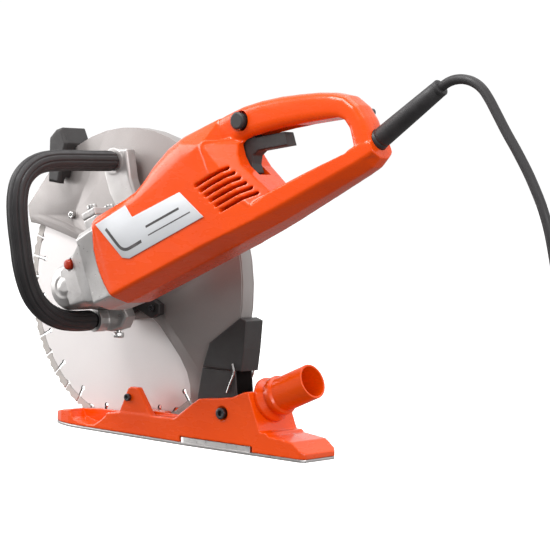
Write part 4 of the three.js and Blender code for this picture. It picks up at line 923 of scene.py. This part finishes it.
# Each stripe's points in the motor's plane, and its width.
LABEL_STRIPES = [
    ([(0.119, 0.025), (0.129, 0.004), (0.134, -0.004), (0.141, -0.008), (0.151, -0.0085), (0.166, -0.008)],
     0.0036),
    ([(0.178, 0.004), (0.232, 0.004)], 0.0026),
    ([(0.178, -0.006), (0.246, -0.006)], 0.0014),
]
LABEL_FACE = -0.1402  # Y of the label's outer face
GUARD_RIDGES = [
    [(-0.160, 0.0735), (-0.120, 0.0655), (-0.088, 0.0570), (-0.045, 0.043)],
    [(-0.158, 0.0800), (-0.120, 0.0725), (-0.088, 0.0640), (-0.045, 0.050)],
]
COVER_DEPTH = 0.0170  # from the nearest point of the guard's cover back to its flat face


def curved(points, steps):
    """Flat points joined by a smooth line, as (x, z) pairs."""
    return [tuple(point) for point in smooth_line([Vector(point) for point in points], steps)]


def make_label():
    edged("label_plate", 0.0003, 2)
    for number, (points, width) in enumerate(LABEL_STRIPES, 1):
        mesh = bar(curved(points, 6), width, 0.00012, MOTOR, LABEL_FACE)
        piece(f"label_stripe_{number}", mesh, "machine", "dark_plastic")


def make_guard():
    edged("guard_shell", 0.0006, 2)
    edged("guard_cover", 0.0006, 2)
    place = Matrix.Translation(AXIS)
    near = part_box("guard_cover")[0].y - AXIS.y - COVER_DEPTH
    for number, points in enumerate(GUARD_RIDGES, 1):
        mesh = bar(curved(points, 5), 0.0016, 0.0006, place, near)
        piece(f"guard_ridge_{number}", mesh, "guard", "guard_metal")


# Node, cell size, smoothing passes, and the place whose flats stay level.
MOULDED = [
    ("base_shell", 0.0009, 3, None),
    ("handle_bracket_upper", 0.0008, 6, None), ("handle_bracket_lower", 0.0007, 4, None),
    ("guard_handle", 0.0007, 3, None), ("trigger", 0.0005, 5, MOTOR), ("dust_chute_upper", 0.0006, 2, None),
    ("dust_chute_lower", 0.0006, 2, None), ("guard_clamp", 0.0006, 3, None),
    ("lock_off_button", 0.0004, 4, MOTOR),
]
EDGED = ["hose_port", "sole_plate", "bearing_neck", "ear_bolt", "pivot_bolt", "pivot_nut", "guard_clip",
         "guard_screw", "bracket_bolt_1", "bracket_bolt_2", "clamp_bolt", "spindle_lock_button",
         "housing_screw_1", "housing_screw_2", "blade_nut", "inner_flange", "outer_flange", "spindle_shaft"]


# ---- Studio ----
def area_light(name, place, target, size, power):
    data = bpy.data.lights.new(name, "AREA")
    data.shape = "RECTANGLE"
    data.size, data.size_y = size
    data.energy = power
    light = bpy.data.objects.new(name, data)
    light.location = place
    light.rotation_euler = (Vector(target) - Vector(place)).to_track_quat("-Z", "Y").to_euler()
    bpy.context.scene.collection.objects.link(light)


FLOOR_HALF = 60
FLOOR_GLOW = 0.42
# Name, place, target, size and power.
LIGHTS = [
    ("key", (-0.5, -1.3, 2.0), (0, 0, 0.2), (1.3, 0.9), 50),
    ("left", (-1.9, -0.7, 0.8), (0, 0, 0.2), (1.3, 1.7), 26),
    ("right", (2.0, -0.9, 0.7), (0, 0, 0.2), (0.5, 1.2), 18),
    ("overhead", (0.2, 0.5, 2.2), (0, 0.1, 0), (2.0, 1.2), 18),
]


def make_floor():
    half = FLOOR_HALF
    floor = bpy.data.objects.new("floor", mesh_of(
        "floor", [(-half, -half, 0), (half, -half, 0), (half, half, 0), (-half, half, 0)], [(0, 1, 2, 3)]))
    bpy.context.scene.collection.objects.link(floor)
    material, tree, principled = shader("pale_floor", (0.96, 0.96, 0.96), 0.6)
    principled.inputs["Specular IOR Level"].default_value = 0.0
    principled.inputs["Emission Color"].default_value = (1, 1, 1, 1)
    principled.inputs["Emission Strength"].default_value = FLOOR_GLOW
    grain = remap(tree, noise_node(tree, 12).outputs["Fac"], 0.5, 0.62)
    tree.links.new(grain, principled.inputs["Roughness"])
    floor.data.materials.append(material)
    floor.visible_diffuse = floor.visible_glossy = False  # the saw isn't lit from below


def make_world():
    """A white surround, brighter behind the saw than in front and darker below the floor."""
    world = bpy.data.worlds.new("studio")
    world.use_nodes = True
    tree = world.node_tree
    background = tree.nodes["Background"]
    background.inputs["Color"].default_value = (1, 1, 1, 1)
    direction = tree.nodes.new("ShaderNodeTexCoord")
    parts = tree.nodes.new("ShaderNodeSeparateXYZ")
    tree.links.new(direction.outputs["Generated"], parts.inputs["Vector"])
    strength = tree.nodes.new("ShaderNodeMath")
    strength.operation = "MULTIPLY"
    behind = remap(tree, parts.outputs["Y"], 0.55, 1.03, -0.25, 0.35)
    above = remap(tree, parts.outputs["Z"], 0.3, 1.0, -0.3, -0.01)
    tree.links.new(behind, strength.inputs[0])
    tree.links.new(above, strength.inputs[1])
    tree.links.new(strength.outputs["Value"], background.inputs["Strength"])
    bpy.context.scene.world = world


def make_studio():
    make_floor()
    make_world()
    for name, place, target, size, power in LIGHTS:
        area_light(name, place, target, size, power)
    bpy.context.scene.view_settings.view_transform = "Standard"


paint_cad_nodes()
make_camera()
make_cord()
make_blade_core()
make_blade_segments()
make_grip()
make_motor_body()
make_gear_housing()
make_label()
make_guard()
for node, voxel, passes, place in MOULDED:
    moulded(node, voxel, passes, place)
for node in EDGED:
    edged(node)
make_studio()
